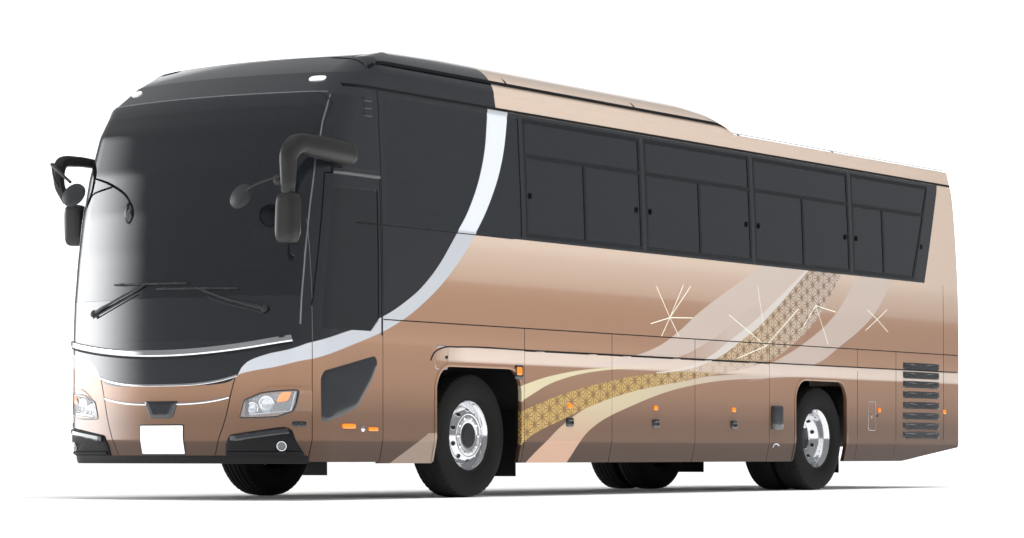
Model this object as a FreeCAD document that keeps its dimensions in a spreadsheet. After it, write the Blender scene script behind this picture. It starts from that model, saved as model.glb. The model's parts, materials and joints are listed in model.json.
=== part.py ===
import FreeCAD, Part
import Sketcher
import math
import os

os.makedirs("parts", exist_ok=True)

# Twelve metre high-decker coach, right-hand drive, entrance door on its left side.
# Millimetres. X points forward, Y to the left, Z up. The origin lies on the ground, midway
# between the rearmost point of the body and the front face of the door mirror.

doc = FreeCAD.newDocument("coach")
sheet = doc.addObject("Spreadsheet::Sheet", "dims")

V = FreeCAD.Vector


class Size:
    """A length that carries its formula on the sheet together with its present value."""

    def __init__(self, text, value):
        self.text = text
        self.value = float(value)

    def __add__(self, other):
        return joined_size(self, "+", other)

    def __radd__(self, other):
        return joined_size(other, "+", self)

    def __sub__(self, other):
        return joined_size(self, "-", other)

    def __rsub__(self, other):
        return joined_size(other, "-", self)

    def __mul__(self, other):
        return joined_size(self, "*", other)

    def __rmul__(self, other):
        return joined_size(other, "*", self)

    def __truediv__(self, other):
        return joined_size(self, "/", other)

    def __neg__(self):
        return Size("(-%s)" % self.text, -self.value)

    def __float__(self):
        return self.value


def sized(item):
    """Any number as a Size."""
    if isinstance(item, Size):
        return item
    return Size(repr(float(item)), item)


def joined_size(first, sign, second):
    first = sized(first)
    second = sized(second)
    sums = {
        "+": lambda a, b: a + b,
        "-": lambda a, b: a - b,
        "*": lambda a, b: a * b,
        "/": lambda a, b: a / b,
    }
    text = "(%s %s %s)" % (first.text, sign, second.text)
    return Size(text, sums[sign](first.value, second.value))


class Dims:
    """The driving dimensions, one sheet cell each, read by name."""


d = Dims()
cell_count = 0


def driving(**lengths):
    """Writes each named length to the sheet and keeps it as a Size."""
    global cell_count
    for alias, value in lengths.items():
        cell_count += 1
        cell = "A%d" % cell_count
        sheet.set(cell, str(value))
        sheet.setAlias(cell, alias)
        setattr(d, alias, Size("dims." + alias, value))


# Driving dimensions of the whole vehicle
driving(
    body_len=11990,
    body_wide=2490,
    wheelbase=6080,
    front_overhang=2600,
    mirror_reach=170,
    skirt_low=286,
    skirt_tuck=40,
    crease_high=474,
    door_line=1237,
    sill_high=2200,
    cantrail_high=3250,
    cantrail_tuck=55,
    gutter_high=3403,
    gutter_tuck=85,
    roof_high=3500,
    dome_high=3750,
    dome_len=7050,
    dome_ramp=2050,
    wall=40,
    seam=8,
    end_play=0.3,
    overrun=60,
)
# Plan curve of the nose and the rear corners
driving(
    nose_crown=140,
    nose_half=950,
    nose_corner=350,
    rear_corner=150,
    lip_back=45,
    screen_low=1580,
    screen_back=18,
    screen_high=3190,
    screen_half=1150,
    screen_round=90,
)
# Side openings, as distances behind the front axle, or ahead of it where the name says so
driving(
    door_back_ahead=1370,
    door_front_ahead=2235,
    door_top_ahead=2060,
    door_low=300,
    door_high=2540,
    door_bend=1500,
    cap_end=300,
    pane_front_ahead=1290,
    pillar_one=685,
    pillar_two=2679,
    pillar_three=4710,
    pillar_four=6765,
    pane_end_high=8607,
    pane_end_low=8195,
    pillar_wide=60,
    hold_front=677,
    hold_two=2093,
    hold_three=3562,
    hold_rear=5000,
    corner_seam=8891,
    skirt_rise=7957,
    tail_low=450,
    arch_half=640,
    arch_high=1090,
    arch_round=210,
    rear_arch_half=555,
    rear_arch_high=1100,
    hinge_gap=6,
    hinge_radius=5,
    hinge_len=60,
)
# Glass and window frames
driving(
    glass_inset=6,
    glass_thick=8,
    frame_wide=36,
    frame_deep=30,
    transom_high=2900,
    driver_pane_low=1720,
    driver_pane_rear=1050,
    driver_pane_slope=110,
    driver_pane_front=1985,
    exit_front=6850,
    exit_wide=700,
    exit_low=1450,
    exit_high=3120,
    exit_pane_low=2270,
    exit_pane_edge=70,
    rear_pane_half=960,
    rear_pane_low=2200,
    rear_pane_high=3120,
)
# Tail
driving(
    bumper_split=740,
    lid_half=900,
    lid_low=760,
    lid_high=1540,
    lamp_half=1115,
    lamp_wide=130,
    lamp_low=900,
    lamp_high=1560,
)
# Nose: bumper edge, grille, head lamps
driving(
    bumper_high=950,
    bumper_rise=1180,
    bumper_bend=760,
    strip_high=1190,
    strip_tall=48,
    strip_half=1120,
    strip_deep=22,
    mouth_half=420,
    mouth_low=560,
    mouth_high=780,
    head_lamp_in=765,
    head_lamp_low=640,
    head_lamp_high=860,
)
# Floor, steps and luggage hold
driving(
    floor_high=1400,
    floor_thick=60,
    hold_floor=440,
    hold_floor_thick=40,
    hold_wall=30,
    hold_half=1180,
    post_wide=50,
    post_deep=70,
    cab_floor=900,
    cab_floor_thick=40,
    cab_rear_ahead=760,
    cab_front_ahead=2250,
    step_one=360,
    step_two=630,
    step_thick=30,
    step_edge_one=860,
    step_edge_two=560,
    step_edge_three=160,
    step_back_ahead=1385,
)
# Chassis rails and axles
driving(
    rail_out=440,
    rail_in=360,
    front_rail_low=740,
    front_rail_high=860,
    hold_rail_low=310,
    rear_rail_low=860,
    rear_rail_high=1000,
    tyre_radius=515,
    tyre_wide=290,
    rim_radius=298,
    front_track=2040,
    rear_track=2140,
    twin_pitch=320,
    kingpin_half=860,
    kingpin_radius=22,
    pin_clearance=0.5,
    fist_radius=52,
    fist_low=430,
    fist_high=600,
    ear_thick=40,
    ear_gap=8,
    web_thick=34,
    spindle_radius=38,
    axle_half_deep=45,
    axle_high=500,
    bellows_radius=110,
    drive_tube=80,
    drive_bulb=215,
    hub_radius=130,
    drum_radius=205,
    drum_wide=48,
    engine_long=1150,
    engine_tall=550,
    engine_gap=330,
)


def at_front(ahead):
    """A place along X, given ahead of the front axle."""
    return x_axle + ahead


def at_rear(behind):
    """A place along X, given behind the front axle."""
    return x_axle - behind


def bind(item, prop, size):
    item.setExpression(prop, sized(size).text)


def place(item, corner):
    for axis, size in zip("xyz", corner):
        bind(item, "Placement.Base." + axis, size)


def block(name, low, high):
    """A box between two corners."""
    item = doc.addObject("Part::Box", name)
    for prop, start, end in zip(("Length", "Width", "Height"), low, high):
        bind(item, prop, sized(end) - start)
    place(item, low)
    return item


turns = {
    "X": FreeCAD.Rotation(V(0, 1, 0), 90),
    "Y": FreeCAD.Rotation(V(1, 0, 0), -90),
    "Z": FreeCAD.Rotation(),
}


def rod(name, foot, axis, radius, length):
    """A cylinder from its foot's centre along an axis of the vehicle."""
    item = doc.addObject("Part::Cylinder", name)
    item.Placement = FreeCAD.Placement(V(), turns[axis])
    bind(item, "Radius", radius)
    bind(item, "Height", length)
    place(item, foot)
    return item


def ball(name, centre, radius):
    item = doc.addObject("Part::Sphere", name)
    bind(item, "Radius", radius)
    place(item, centre)
    return item


faces = {
    "XY": (FreeCAD.Rotation(), V(0, 0, 1), "z"),
    "XZ": (FreeCAD.Rotation(V(1, 0, 0), 90), V(0, 1, 0), "y"),
    "YZ": (FreeCAD.Rotation(V(1, 1, 1), 120), V(1, 0, 0), "x"),
}


def outline(name, plane, points):
    """A closed sketch of straight edges whose corners are bound to the sheet."""
    sketch = doc.addObject("Sketcher::SketchObject", name)
    sketch.Placement = FreeCAD.Placement(V(), faces[plane][0])
    spots = [V(value(a), value(b), 0) for a, b in points]
    count = len(spots)
    for index in range(count):
        sketch.addGeometry(Part.LineSegment(spots[index], spots[(index + 1) % count]), False)
    for index in range(count):
        sketch.addConstraint(Sketcher.Constraint("Coincident", index, 2, (index + 1) % count, 1))
    for index, pair in enumerate(points):
        for way, size in zip("XY", pair):
            spot = spots[index].x if way == "X" else spots[index].y
            number = sketch.addConstraint(Sketcher.Constraint("Distance" + way, -1, 1, index, 1, spot))
            label = "corner_%d_%s" % (index, way)
            sketch.renameConstraint(number, label)
            bind(sketch, "Constraints." + label, size)
    return sketch


def prism(name, plane, points, start, end):
    """An outline carried square to its plane from start to end."""
    sketch = outline(name + "_outline", plane, points)
    bind(sketch, "Placement.Base." + faces[plane][2], start)
    item = doc.addObject("Part::Extrusion", name)
    item.Base = sketch
    item.DirMode = "Custom"
    item.Dir = faces[plane][1]
    item.Solid = True
    bind(item, "LengthFwd", sized(end) - start)
    return item


def turned(name, points, centre):
    """A closed outline of (radius, place along Y) pairs turned about an axis parallel to Y."""
    sketch = outline(name + "_outline", "XY", points)
    item = doc.addObject("Part::Revolution", name)
    item.Source = sketch
    item.Axis = V(0, 1, 0)
    item.Base = V()
    item.Angle = 360
    item.Solid = True
    place(item, centre)
    return item


def fuse(name, items):
    item = doc.addObject("Part::MultiFuse", name)
    item.Shapes = items
    return item


def cut(name, base, tool):
    item = doc.addObject("Part::Cut", name)
    item.Base = base
    item.Tool = tool
    return item


def common(name, base, tool):
    item = doc.addObject("Part::Common", name)
    item.Base = base
    item.Tool = tool
    return item


def group(name, items):
    item = doc.addObject("Part::Compound", name)
    item.Links = items
    return item


def mirrored(name, source):
    """The same piece on the other side of the vehicle's middle plane."""
    item = doc.addObject("Part::Mirroring", name)
    item.Source = source
    item.Normal = V(0, 1, 0)
    return item


def feature(name, shape):
    item = doc.addObject("Part::Feature", name)
    item.Shape = shape
    return item


def bar(name, start, end, radius):
    """A round bar between two points."""
    foot = V(*[value(item) for item in start])
    tip = V(*[value(item) for item in end])
    return feature(name, Part.makeCylinder(value(radius), (tip - foot).Length, foot, tip - foot))


nodes = []


def node(name, item):
    """Takes an object as the finished sub-part of that name."""
    item.Label = name
    nodes.append(item)
    return item

body_half = d.body_wide / 2
x_rear = -(d.body_len + d.mirror_reach) / 2
x_front = x_rear + d.body_len
x_axle = x_front - d.front_overhang
x_drive = x_axle - d.wheelbase


def value(item):
    return float(sized(item))


def plan_wire(height, half, front, rear):
    """One level outline of the body: crowned nose, drawn-in corners, straight flanks, rounded tail."""
    z, w, xf, xr = (float(item) for item in (height, half, front, rear))
    crown = float(d.nose_crown)
    yc = float(d.nose_half)
    reach = float(d.nose_corner)
    tail = float(d.rear_corner)
    shoulder = xf - crown
    knee = shoulder - 2 * crown / yc * (w - yc)
    edges = []
    for side in (1, -1):
        curve = Part.BezierCurve()
        curve.setPoles([V(shoulder, side * yc, z), V(knee, side * w, z), V(knee - reach, side * w, z)])
        round_tail = Part.Arc(
            V(xr + tail, side * w, z),
            V(xr + tail * (1 - math.sqrt(0.5)), side * (w - tail * (1 - math.sqrt(0.5))), z),
            V(xr, side * (w - tail), z),
        )
        flank = Part.LineSegment(V(knee - reach, side * w, z), V(xr + tail, side * w, z))
        trio = [curve.toShape(), flank.toShape(), round_tail.toShape()]
        edges.append(trio)
    bow = Part.Arc(V(shoulder, yc, z), V(xf, 0, z), V(shoulder, -yc, z)).toShape()
    back = Part.LineSegment(V(xr, w - tail, z), V(xr, tail - w, z)).toShape()
    left, right = edges
    return Part.Wire([left[0], left[1], left[2], back, right[2], right[1], right[0], bow])


# Level stations of the body: height, half width, set-back of the nose, set-back of the tail.
# The upper set-backs are shares of the front overhang, read off the side view of the nose.
low_rows = (
    (d.skirt_low, body_half - d.skirt_tuck, d.lip_back, 0),
    (d.crease_high, body_half, 0, 0),
    (d.door_line, body_half, 0, 0),
    (d.screen_low, body_half, d.screen_back, 0),
)
face_shares = (
    (0.000, 0.000, 0.000, 0.000),
    (0.220, 0.060, 0.016, 0.002),
    (0.410, 0.180, 0.036, 0.006),
    (0.610, 0.400, 0.065, 0.012),
    (0.815, 0.700, 0.111, 0.020),
    (0.957, 0.930, 0.171, 0.032),
)
crown_shares = (
    (0.000, 0.300, 0.044, 0.30),
    (0.366, 0.404, 0.056, 0.55),
    (0.669, 0.715, 0.056, 0.90),
    (0.856, 1.000, 0.056, 1.00),
    (1.086, 1.615, 0.056, 1.00),
)
crown_steps = 12
tail_lean_share = 0.2


def face_rows():
    """Stations of the raked windscreen and the drawn-in window band."""
    rows = []
    for rise, tuck, nose, tail in face_shares:
        rows.append(
            (
                d.screen_low + (d.cantrail_high - d.screen_low) * rise,
                body_half - d.cantrail_tuck * tuck,
                d.screen_back + d.front_overhang * nose,
                d.front_overhang * tail,
            )
        )
    return rows


def crown_rows(inset):
    """Stations over the windscreen, where the nose turns back into the roof and sinks with the inset."""
    points = []
    last = face_rows()[-1]
    points.append(V(value(last[2]), value(last[0]), value(body_half - last[1])))
    for rise, nose, tail, sink in crown_shares:
        height = d.gutter_high + (d.dome_high - d.gutter_high) * rise - inset * sink
        points.append(
            V(value(d.screen_back + d.front_overhang * nose), value(height), value(d.gutter_tuck))
        )
    curve = Part.BSplineCurve()
    curve.interpolate(points)
    tail = value(last[3])
    rows = []
    for point in curve.discretize(crown_steps):
        rows.append(
            (
                point.y, value(body_half) - point.z, point.x,
                tail + (point.y - points[0].y) * tail_lean_share,
            )
        )
    return rows


def roof_prism(inset, crown_high, shoulder_shares, x_low, x_high):
    """A long prism under the roof's cross-section, from gutter to gutter over the crown."""
    wide = float(body_half + d.overrun)
    low = -float(d.overrun)
    gutter_y = float(body_half - d.gutter_tuck)
    gutter_z = float(d.gutter_high)
    rise = float(crown_high) - gutter_z
    points = [V(0, -gutter_y, gutter_z - inset)]
    for across, up in shoulder_shares:
        points.append(V(0, -gutter_y * across, gutter_z + rise * up - inset))
    points.append(V(0, 0, float(crown_high) - inset))
    for across, up in reversed(shoulder_shares):
        points.append(V(0, gutter_y * across, gutter_z + rise * up - inset))
    points.append(V(0, gutter_y, gutter_z - inset))
    curve = Part.BSplineCurve()
    curve.interpolate(points)
    cant = float(d.cantrail_high) - inset
    corners = [
        points[-1], V(0, wide, cant), V(0, wide, low), V(0, -wide, low), V(0, -wide, cant), points[0]
    ]
    edges = [curve.toShape()]
    for start, end in zip(corners, corners[1:]):
        edges.append(Part.LineSegment(start, end).toShape())
    face = Part.Face(Part.Wire(edges))
    face.translate(V(x_low, 0, 0))
    return face.extrude(V(x_high - x_low, 0, 0))


dome_shoulder_shares = ((0.925, 0.42), (0.60, 0.845))
roof_shoulder_shares = ((0.93, 0.40), (0.50, 0.90))
ramp_shares = ((0.0, 1.06), (0.38, 0.93), (0.68, 0.66), (0.85, 0.40), (1.0, 0.06))


def dome_profile(inset):
    """Side view of the raised front roof: level to the ramp, which falls back to the low roof."""
    high = float(d.dome_high + d.overrun)
    low = float(d.cantrail_high) - float(d.overrun)
    rise = float(d.dome_high - d.gutter_high)
    end = float(x_front - d.dome_len)
    ramp = float(d.dome_ramp)
    gutter = float(d.gutter_high)
    wide = float(body_half + d.overrun)
    far = float(x_front + d.overrun)
    points = []
    for back, up in ramp_shares:
        points.append(V(end + ramp * (1 - back), -wide, gutter + rise * up - inset))
    curve = Part.BSplineCurve()
    curve.interpolate(points)
    corners = [points[-1], V(end, -wide, low), V(far, -wide, low), V(far, -wide, high)]
    corners += [V(points[0].x, -wide, high), points[0]]
    edges = [curve.toShape()]
    for start, stop in zip(corners, corners[1:]):
        edges.append(Part.LineSegment(start, stop).toShape())
    return Part.Face(Part.Wire(edges)).extrude(V(0, 2 * wide, 0))


def station_wires(rows, inset):
    """The level outlines of some stations, each drawn in by the inset."""
    wires = []
    for height, half, nose, tail in rows:
        wires.append(plan_wire(height, half - inset, x_front - nose - inset, x_rear + tail + inset))
    return wires


def envelope(inset):
    """The whole closed body form, drawn in by an even inset on every side but the open bottom."""
    inset = float(inset)
    wires = station_wires(low_rows, inset)
    if inset > 0:
        deep = V(0, 0, -float(d.overrun))
        foot = wires[0].copy()
        foot.translate(deep)
        wires.insert(0, foot)
    lower = Part.makeLoft(wires, True, True)
    middle = Part.makeLoft(station_wires(face_rows(), inset), True, False)
    crown = Part.makeLoft(station_wires(crown_rows(inset), inset), True, True)
    whole = lower.fuse([middle, crown])
    far = float(x_front + d.overrun)
    near = float(x_rear - d.overrun)
    low_roof = roof_prism(inset, d.roof_high, roof_shoulder_shares, near, far)
    high_roof = roof_prism(inset, d.dome_high, dome_shoulder_shares, near, far)
    high_roof = high_roof.common(dome_profile(inset))
    return whole.common(low_roof.fuse(high_roof))



far_side = body_half + d.overrun
high_up = d.dome_high + d.overrun
deep_down = d.skirt_low - d.overrun
wall_low = d.door_line + d.hinge_gap
x_corner = at_rear(d.corner_seam)
x_past = x_front + d.mirror_reach
x_behind = x_rear - d.overrun
floor_under = d.floor_high - d.floor_thick

# Skins that every panel is taken from: the body wall, the window frames' depth and the glass
body_hull = feature("body_hull", envelope(0))
body_skin = feature("body_skin", body_hull.Shape.cut(envelope(d.wall)))
frame_skin = feature("frame_skin", envelope(0).cut(envelope(d.frame_deep)))
glass_skin = feature("glass_skin", envelope(d.glass_inset).cut(envelope(d.glass_inset + d.glass_thick)))
strip_skin = feature("strip_skin", envelope(-d.strip_deep).cut(envelope(0)))


def door_points(gap):
    """The entrance door's outline seen from the side, opened up by a gap."""
    return (
        (at_front(d.door_back_ahead) - gap, d.door_low - gap),
        (at_front(d.door_front_ahead) + gap, d.door_low - gap),
        (at_front(d.door_front_ahead) + gap, d.door_bend),
        (at_front(d.door_top_ahead) + gap, d.door_high + gap),
        (at_front(d.door_back_ahead) - gap, d.door_high + gap),
    )


def cap_points():
    """The black nose above the windscreen's foot, down its pillars and back over the front roof."""
    return (
        (x_past, d.screen_low),
        (at_front(d.door_front_ahead) + d.seam, d.screen_low),
        (at_front(d.door_front_ahead) + d.seam, d.door_bend + d.seam),
        (at_front(d.door_top_ahead) + d.seam, d.door_high + d.seam),
        (at_front(d.door_back_ahead), d.door_high + d.seam),
        (at_front(d.door_back_ahead), d.cantrail_high),
        (at_rear(d.cap_end), d.cantrail_high),
        (at_rear(d.cap_end), high_up),
        (x_past, high_up),
    )


def nose_points(low, high):
    """Everything ahead of the door's front seam between two heights."""
    back = at_front(d.door_front_ahead) + d.seam
    return ((back, low), (x_past, low), (x_past, high), (back, high))


def bumper_points():
    """Front view of the bumper: level in the middle, rising to its outer ends."""
    return (
        (-far_side, deep_down),
        (far_side, deep_down),
        (far_side, d.bumper_rise),
        (d.bumper_bend, d.bumper_high),
        (-d.bumper_bend, d.bumper_high),
        (-far_side, d.bumper_rise),
    )


def screen_points():
    """Front view of the windscreen, its corners taken off by the rounding."""
    half = d.screen_half
    low = d.screen_low
    high = d.screen_high
    r = d.screen_round
    return (
        (-half, low), (half, low), (half, high - r), (half - r, high),
        (-half + r, high), (-half, high - r),
    )


def side_prism(name, points, sides=(-1, 1)):
    """A side view outline carried through one flank or both."""
    start = -far_side if -1 in sides else sized(0)
    end = far_side if 1 in sides else sized(0)
    return prism(name, "XZ", points, start, end)


def nose_prism(name, points):
    return prism(name, "YZ", points, x_axle, x_past)


def rect(x_low, x_high, z_low, z_high):
    return ((x_low, z_low), (x_high, z_low), (x_high, z_high), (x_low, z_high))


# Wheel arches, squarish with rounded upper corners
def arch(name, x_mid, half, high):
    r = d.arch_round
    parts = [
        block(name + "_legs", (x_mid - half, -far_side, deep_down), (x_mid + half, far_side, high - r)),
        block(
            name + "_crown", (x_mid - half + r, -far_side, deep_down), (x_mid + half - r, far_side, high),
        ),
        rod(name + "_front", (x_mid + half - r, -far_side, high - r), "Y", r, far_side * 2),
        rod(name + "_back", (x_mid - half + r, -far_side, high - r), "Y", r, far_side * 2),
    ]
    return fuse(name, parts)


arches = fuse("arches", [
    arch("front_arch", x_axle, d.arch_half, d.arch_high),
    arch("rear_arch", x_drive, d.rear_arch_half, d.rear_arch_high),
])

tail_wedge = prism("tail_wedge", "XZ", (
    (at_rear(d.skirt_rise), deep_down),
    (x_behind, deep_down),
    (x_behind, d.tail_low),
    (at_rear(d.skirt_rise), d.skirt_low),
)[::-1], -far_side, far_side)

# Windows of one flank, as side view outlines
half_pillar = d.pillar_wide / 2
pane_low = d.sill_high
pane_high = d.cantrail_high - d.pillar_wide / 2
pillars = (d.pillar_one, d.pillar_two, d.pillar_three, d.pillar_four)


def bay_points(index):
    """One window bay between two pillars; the last one ends in a slanted edge."""
    front = at_rear(pillars[index]) - half_pillar
    if index < 3:
        return rect(at_rear(pillars[index + 1]) + half_pillar, front, pane_low, pane_high)
    return (
        (at_rear(d.pane_end_low), pane_low),
        (front, pane_low),
        (front, pane_high),
        (at_rear(d.pane_end_high), pane_high),
    )


def inner_points(points, edge):
    """The same four-cornered outline drawn in by an edge."""
    (xa, za), (xb, zb), (xc, zc), (xd, zd) = points
    return ((xa + edge, za + edge), (xb - edge, zb + edge), (xc - edge, zc - edge), (xd + edge, zd - edge))


def bay_window(name, points, side):
    """Frame ring with transom and centre mullion, and the three panes it holds."""
    sides = (side,)
    hole = side_prism(name + "_hole", points, sides)
    (xa, za), (xb, zb), (xc, zc), (xd, zd) = inner_points(points, d.frame_wide)
    half_bar = d.frame_wide / 2
    split = d.transom_high
    middle = (xa + xb) / 2
    slant = (xd - xa) * ((d.transom_high - za) / (zc - za))
    top = ((xa + slant, split + half_bar), (xb, split + half_bar), (xc, zc), (xd, zd))
    low_front = rect(middle + half_bar, xb, za, split - half_bar)
    low_back = (
        (xa, za), (middle - half_bar, za), (middle - half_bar, split - half_bar),
        (xa + slant, split - half_bar)
    )
    lights = [
        side_prism(name + "_top", top, sides),
        side_prism(name + "_front", low_front, sides),
        side_prism(name + "_back", low_back, sides),
    ]
    openings = group(name + "_lights", lights)
    ring = cut(name + "_bars", common(name + "_band", frame_skin, hole), openings)
    panes = [common(name + "_glass_%d" % index, glass_skin, light) for index, light in enumerate(lights)]
    return hole, ring, panes


holes_left, holes_right, rings, panes = [], [], [], []
for index in range(4):
    hole, ring, glass = bay_window("bay_%d_left" % index, bay_points(index), 1)
    holes_left.append(hole)
    rings.append(ring)
    panes += glass
for index in range(3):
    hole, ring, glass = bay_window("bay_%d_right" % index, bay_points(index), -1)
    holes_right.append(hole)
    rings.append(ring)
    panes += glass


def fixed_pane(name, points, side):
    """A pane set straight into the wall."""
    hole = side_prism(name + "_hole", points, (side,))
    return hole, common(name, glass_skin, hole)


front_left = rect(at_rear(d.pillar_one) + half_pillar, at_front(d.pane_front_ahead), pane_low, pane_high)
front_right = rect(
    at_rear(d.pillar_one) + half_pillar, at_front(d.driver_pane_rear) - d.pillar_wide, pane_low, pane_high
)
driver = (
    (at_front(d.driver_pane_rear), d.driver_pane_low + d.driver_pane_slope),
    (at_front(d.driver_pane_front), d.driver_pane_low),
    (at_front(d.driver_pane_front) - d.driver_pane_slope, d.door_high - d.pillar_wide),
    (at_front(d.driver_pane_rear), d.door_high - d.pillar_wide),
)
exit_back = d.exit_front + d.exit_wide
last_right = (
    (at_rear(d.pane_end_low), pane_low),
    (at_rear(exit_back) - d.pillar_wide, pane_low),
    (at_rear(exit_back) - d.pillar_wide, pane_high),
    (at_rear(d.pane_end_high), pane_high),
)
for name, points, side, holes in (
    ("front_pane_left", front_left, 1, holes_left),
    ("front_pane_right", front_right, -1, holes_right),
    ("driver_pane", driver, -1, holes_right),
    ("last_pane_right", last_right, -1, holes_right),
):
    hole, glass = fixed_pane(name, points, side)
    holes.append(hole)
    panes.append(glass)


# Hinge knuckles: a fixed one on the wall's edge and a turning one on the flap, end to end on one axis
def knuckle_along_x(name, x_start, y_axis, z_axis, z_root):
    r = d.hinge_radius
    barrel = rod(name + "_barrel", (x_start, y_axis, z_axis), "X", r, d.hinge_len)
    low, high = (z_axis, z_root) if value(z_root) > value(z_axis) else (z_root, z_axis)
    tab = block(name + "_tab", (x_start, y_axis - r, low), (x_start + d.hinge_len, y_axis + r, high))
    return fuse(name, [barrel, tab])


hold_seams = (d.hold_front, d.hold_two, d.hold_three, d.hold_rear)
fixed_knuckles = {1: [], -1: []}
flap_nodes = []
for side, word in ((1, "left"), (-1, "right")):
    for index in range(3):
        name = "luggage_door_%s_%d" % (word, index + 1)
        front = at_rear(hold_seams[index]) - d.seam / 2
        back = at_rear(hold_seams[index + 1]) + d.seam / 2
        region = side_prism(
            name + "_region", rect(back, front, deep_down, d.door_line - d.hinge_gap), (side,)
        )
        parts = [common(name + "_panel", body_skin, region)]
        y_axis = (body_half - d.hinge_radius) * side
        span = front - back
        for spot, share in enumerate((0.18, 0.78)):
            start = back + span * share
            parts.append(knuckle_along_x(
                "%s_leaf_%d" % (name, spot), start, y_axis, d.door_line, d.door_line - d.hinge_gap))
            fixed_knuckles[side].append(knuckle_along_x(
                "%s_eye_%d" % (
                    name, spot,
                ), start + d.hinge_len + d.end_play, y_axis, d.door_line, wall_low))
        flap_nodes.append(node(name, fuse(name + "_whole", parts)))

# Emergency door in the rear of the right flank, hinged at its front edge
exit_points = rect(at_rear(exit_back), at_rear(d.exit_front), d.exit_low, d.exit_high)
exit_gap = rect(
    at_rear(exit_back) - d.seam, at_rear(d.exit_front) + d.hinge_gap * 2, d.exit_low - d.seam,
    d.exit_high + d.seam
)
exit_hole = side_prism("exit_hole", exit_gap, (-1,))
exit_light = side_prism("exit_light", rect(
    at_rear(exit_back) + d.exit_pane_edge, at_rear(d.exit_front) - d.exit_pane_edge,
    d.exit_pane_low, d.exit_high - d.exit_pane_edge), (-1,))
exit_leaf = cut(
    "exit_leaf", common("exit_slab", body_skin, side_prism("exit_region", exit_points, (-1,))), exit_light
)
x_exit_axis = at_rear(d.exit_front) + d.hinge_gap
y_exit_axis = -(body_half - d.hinge_radius)
exit_leaves, exit_eyes = [exit_leaf], []
for spot, share in enumerate((0.03, 0.18)):
    z_start = d.exit_low + (d.exit_high - d.exit_low) * share
    r = d.hinge_radius
    z_mid = z_start + d.hinge_len
    z_next = z_mid + d.end_play
    exit_leaves.append(fuse("exit_leaf_%d" % spot, [
        rod("exit_leaf_barrel_%d" % spot, (x_exit_axis, y_exit_axis, z_start), "Z", r, d.hinge_len),
        block(
            "exit_leaf_tab_%d" % spot, (at_rear(d.exit_front), y_exit_axis - r, z_start),
            (x_exit_axis, y_exit_axis + r, z_mid),
        ),
    ]))
    exit_eyes.append(fuse("exit_eye_%d" % spot, [
        rod("exit_eye_barrel_%d" % spot, (x_exit_axis, y_exit_axis, z_next), "Z", r, d.hinge_len),
        block("exit_eye_tab_%d" % spot, (x_exit_axis, y_exit_axis - r, z_next),
              (x_exit_axis + d.hinge_gap, y_exit_axis + r, z_next + d.hinge_len)),
    ]))
node("emergency_door", fuse("emergency_door_whole", exit_leaves))
node("emergency_door_glass", common("emergency_door_pane", glass_skin, exit_light))

# Flanks above the luggage doors
left_region = side_prism(
    "left_region", rect(x_corner, at_front(d.door_back_ahead) - d.seam, wall_low, d.cantrail_high), (1,)
)
left_slab = common("left_slab", body_skin, left_region)
left_wall = cut("left_wall", left_slab, group("left_holes", holes_left))
node("side_wall_left", fuse("side_wall_left_whole", [left_wall] + fixed_knuckles[1]))

right_region = side_prism("right_region", (
    (x_corner, wall_low),
    (at_front(d.door_front_ahead) + d.seam, wall_low),
    (at_front(d.door_front_ahead) + d.seam, d.door_bend + d.seam),
    (at_front(d.door_top_ahead) + d.seam, d.door_high + d.seam),
    (at_front(d.door_back_ahead), d.door_high + d.seam),
    (at_front(d.door_back_ahead), d.cantrail_high),
    (x_corner, d.cantrail_high),
), (-1,))
right_slab = common("right_slab", body_skin, right_region)
right_wall = cut("right_wall", right_slab, group("right_holes", holes_right + [exit_hole]))
node("side_wall_right", fuse("side_wall_right_whole", [right_wall] + fixed_knuckles[-1] + exit_eyes))

# Lower fixed panels: one ahead of the luggage doors and one behind them on each flank
skirts = []
for side, word in ((1, "left"), (-1, "right")):
    nose_edge = at_front(d.door_back_ahead) - d.seam if side == 1 else at_front(d.door_front_ahead) + d.seam
    front_panel_region = rect(at_rear(d.hold_front) + d.seam / 2, nose_edge, deep_down, wall_low)
    rear_panel_region = rect(x_corner, at_rear(d.hold_rear) - d.seam / 2, deep_down, wall_low)
    for part_word, points in (("front", front_panel_region), ("rear", rear_panel_region)):
        name = "skirt_%s_%s" % (word, part_word)
        slab = common(name + "_slab", body_skin, side_prism(name + "_region", points, (side,)))
        skirts.append(cut(name, slab, group(name + "_tools", [arches, tail_wedge])))
node("skirt_panels", group("skirt_group", skirts))

node("window_frames", group("window_frame_group", rings))

# Nose: black cap around the windscreen, front panel, bumper and the chromed strip
screen_region = nose_prism("screen_region", screen_points())
cap_slab = common("cap_slab", body_skin, side_prism("cap_region", cap_points()))
node("front_cap", cut("front_cap_whole", cap_slab, screen_region))
node("windscreen", common("windscreen_pane", glass_skin, screen_region))

bumper_region = nose_prism("bumper_region", bumper_points())
nose_slab = common("nose_slab", body_skin, side_prism("nose_region", nose_points(deep_down, d.screen_low)))
node("front_panel", cut("front_panel_whole", nose_slab, bumper_region))

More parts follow.
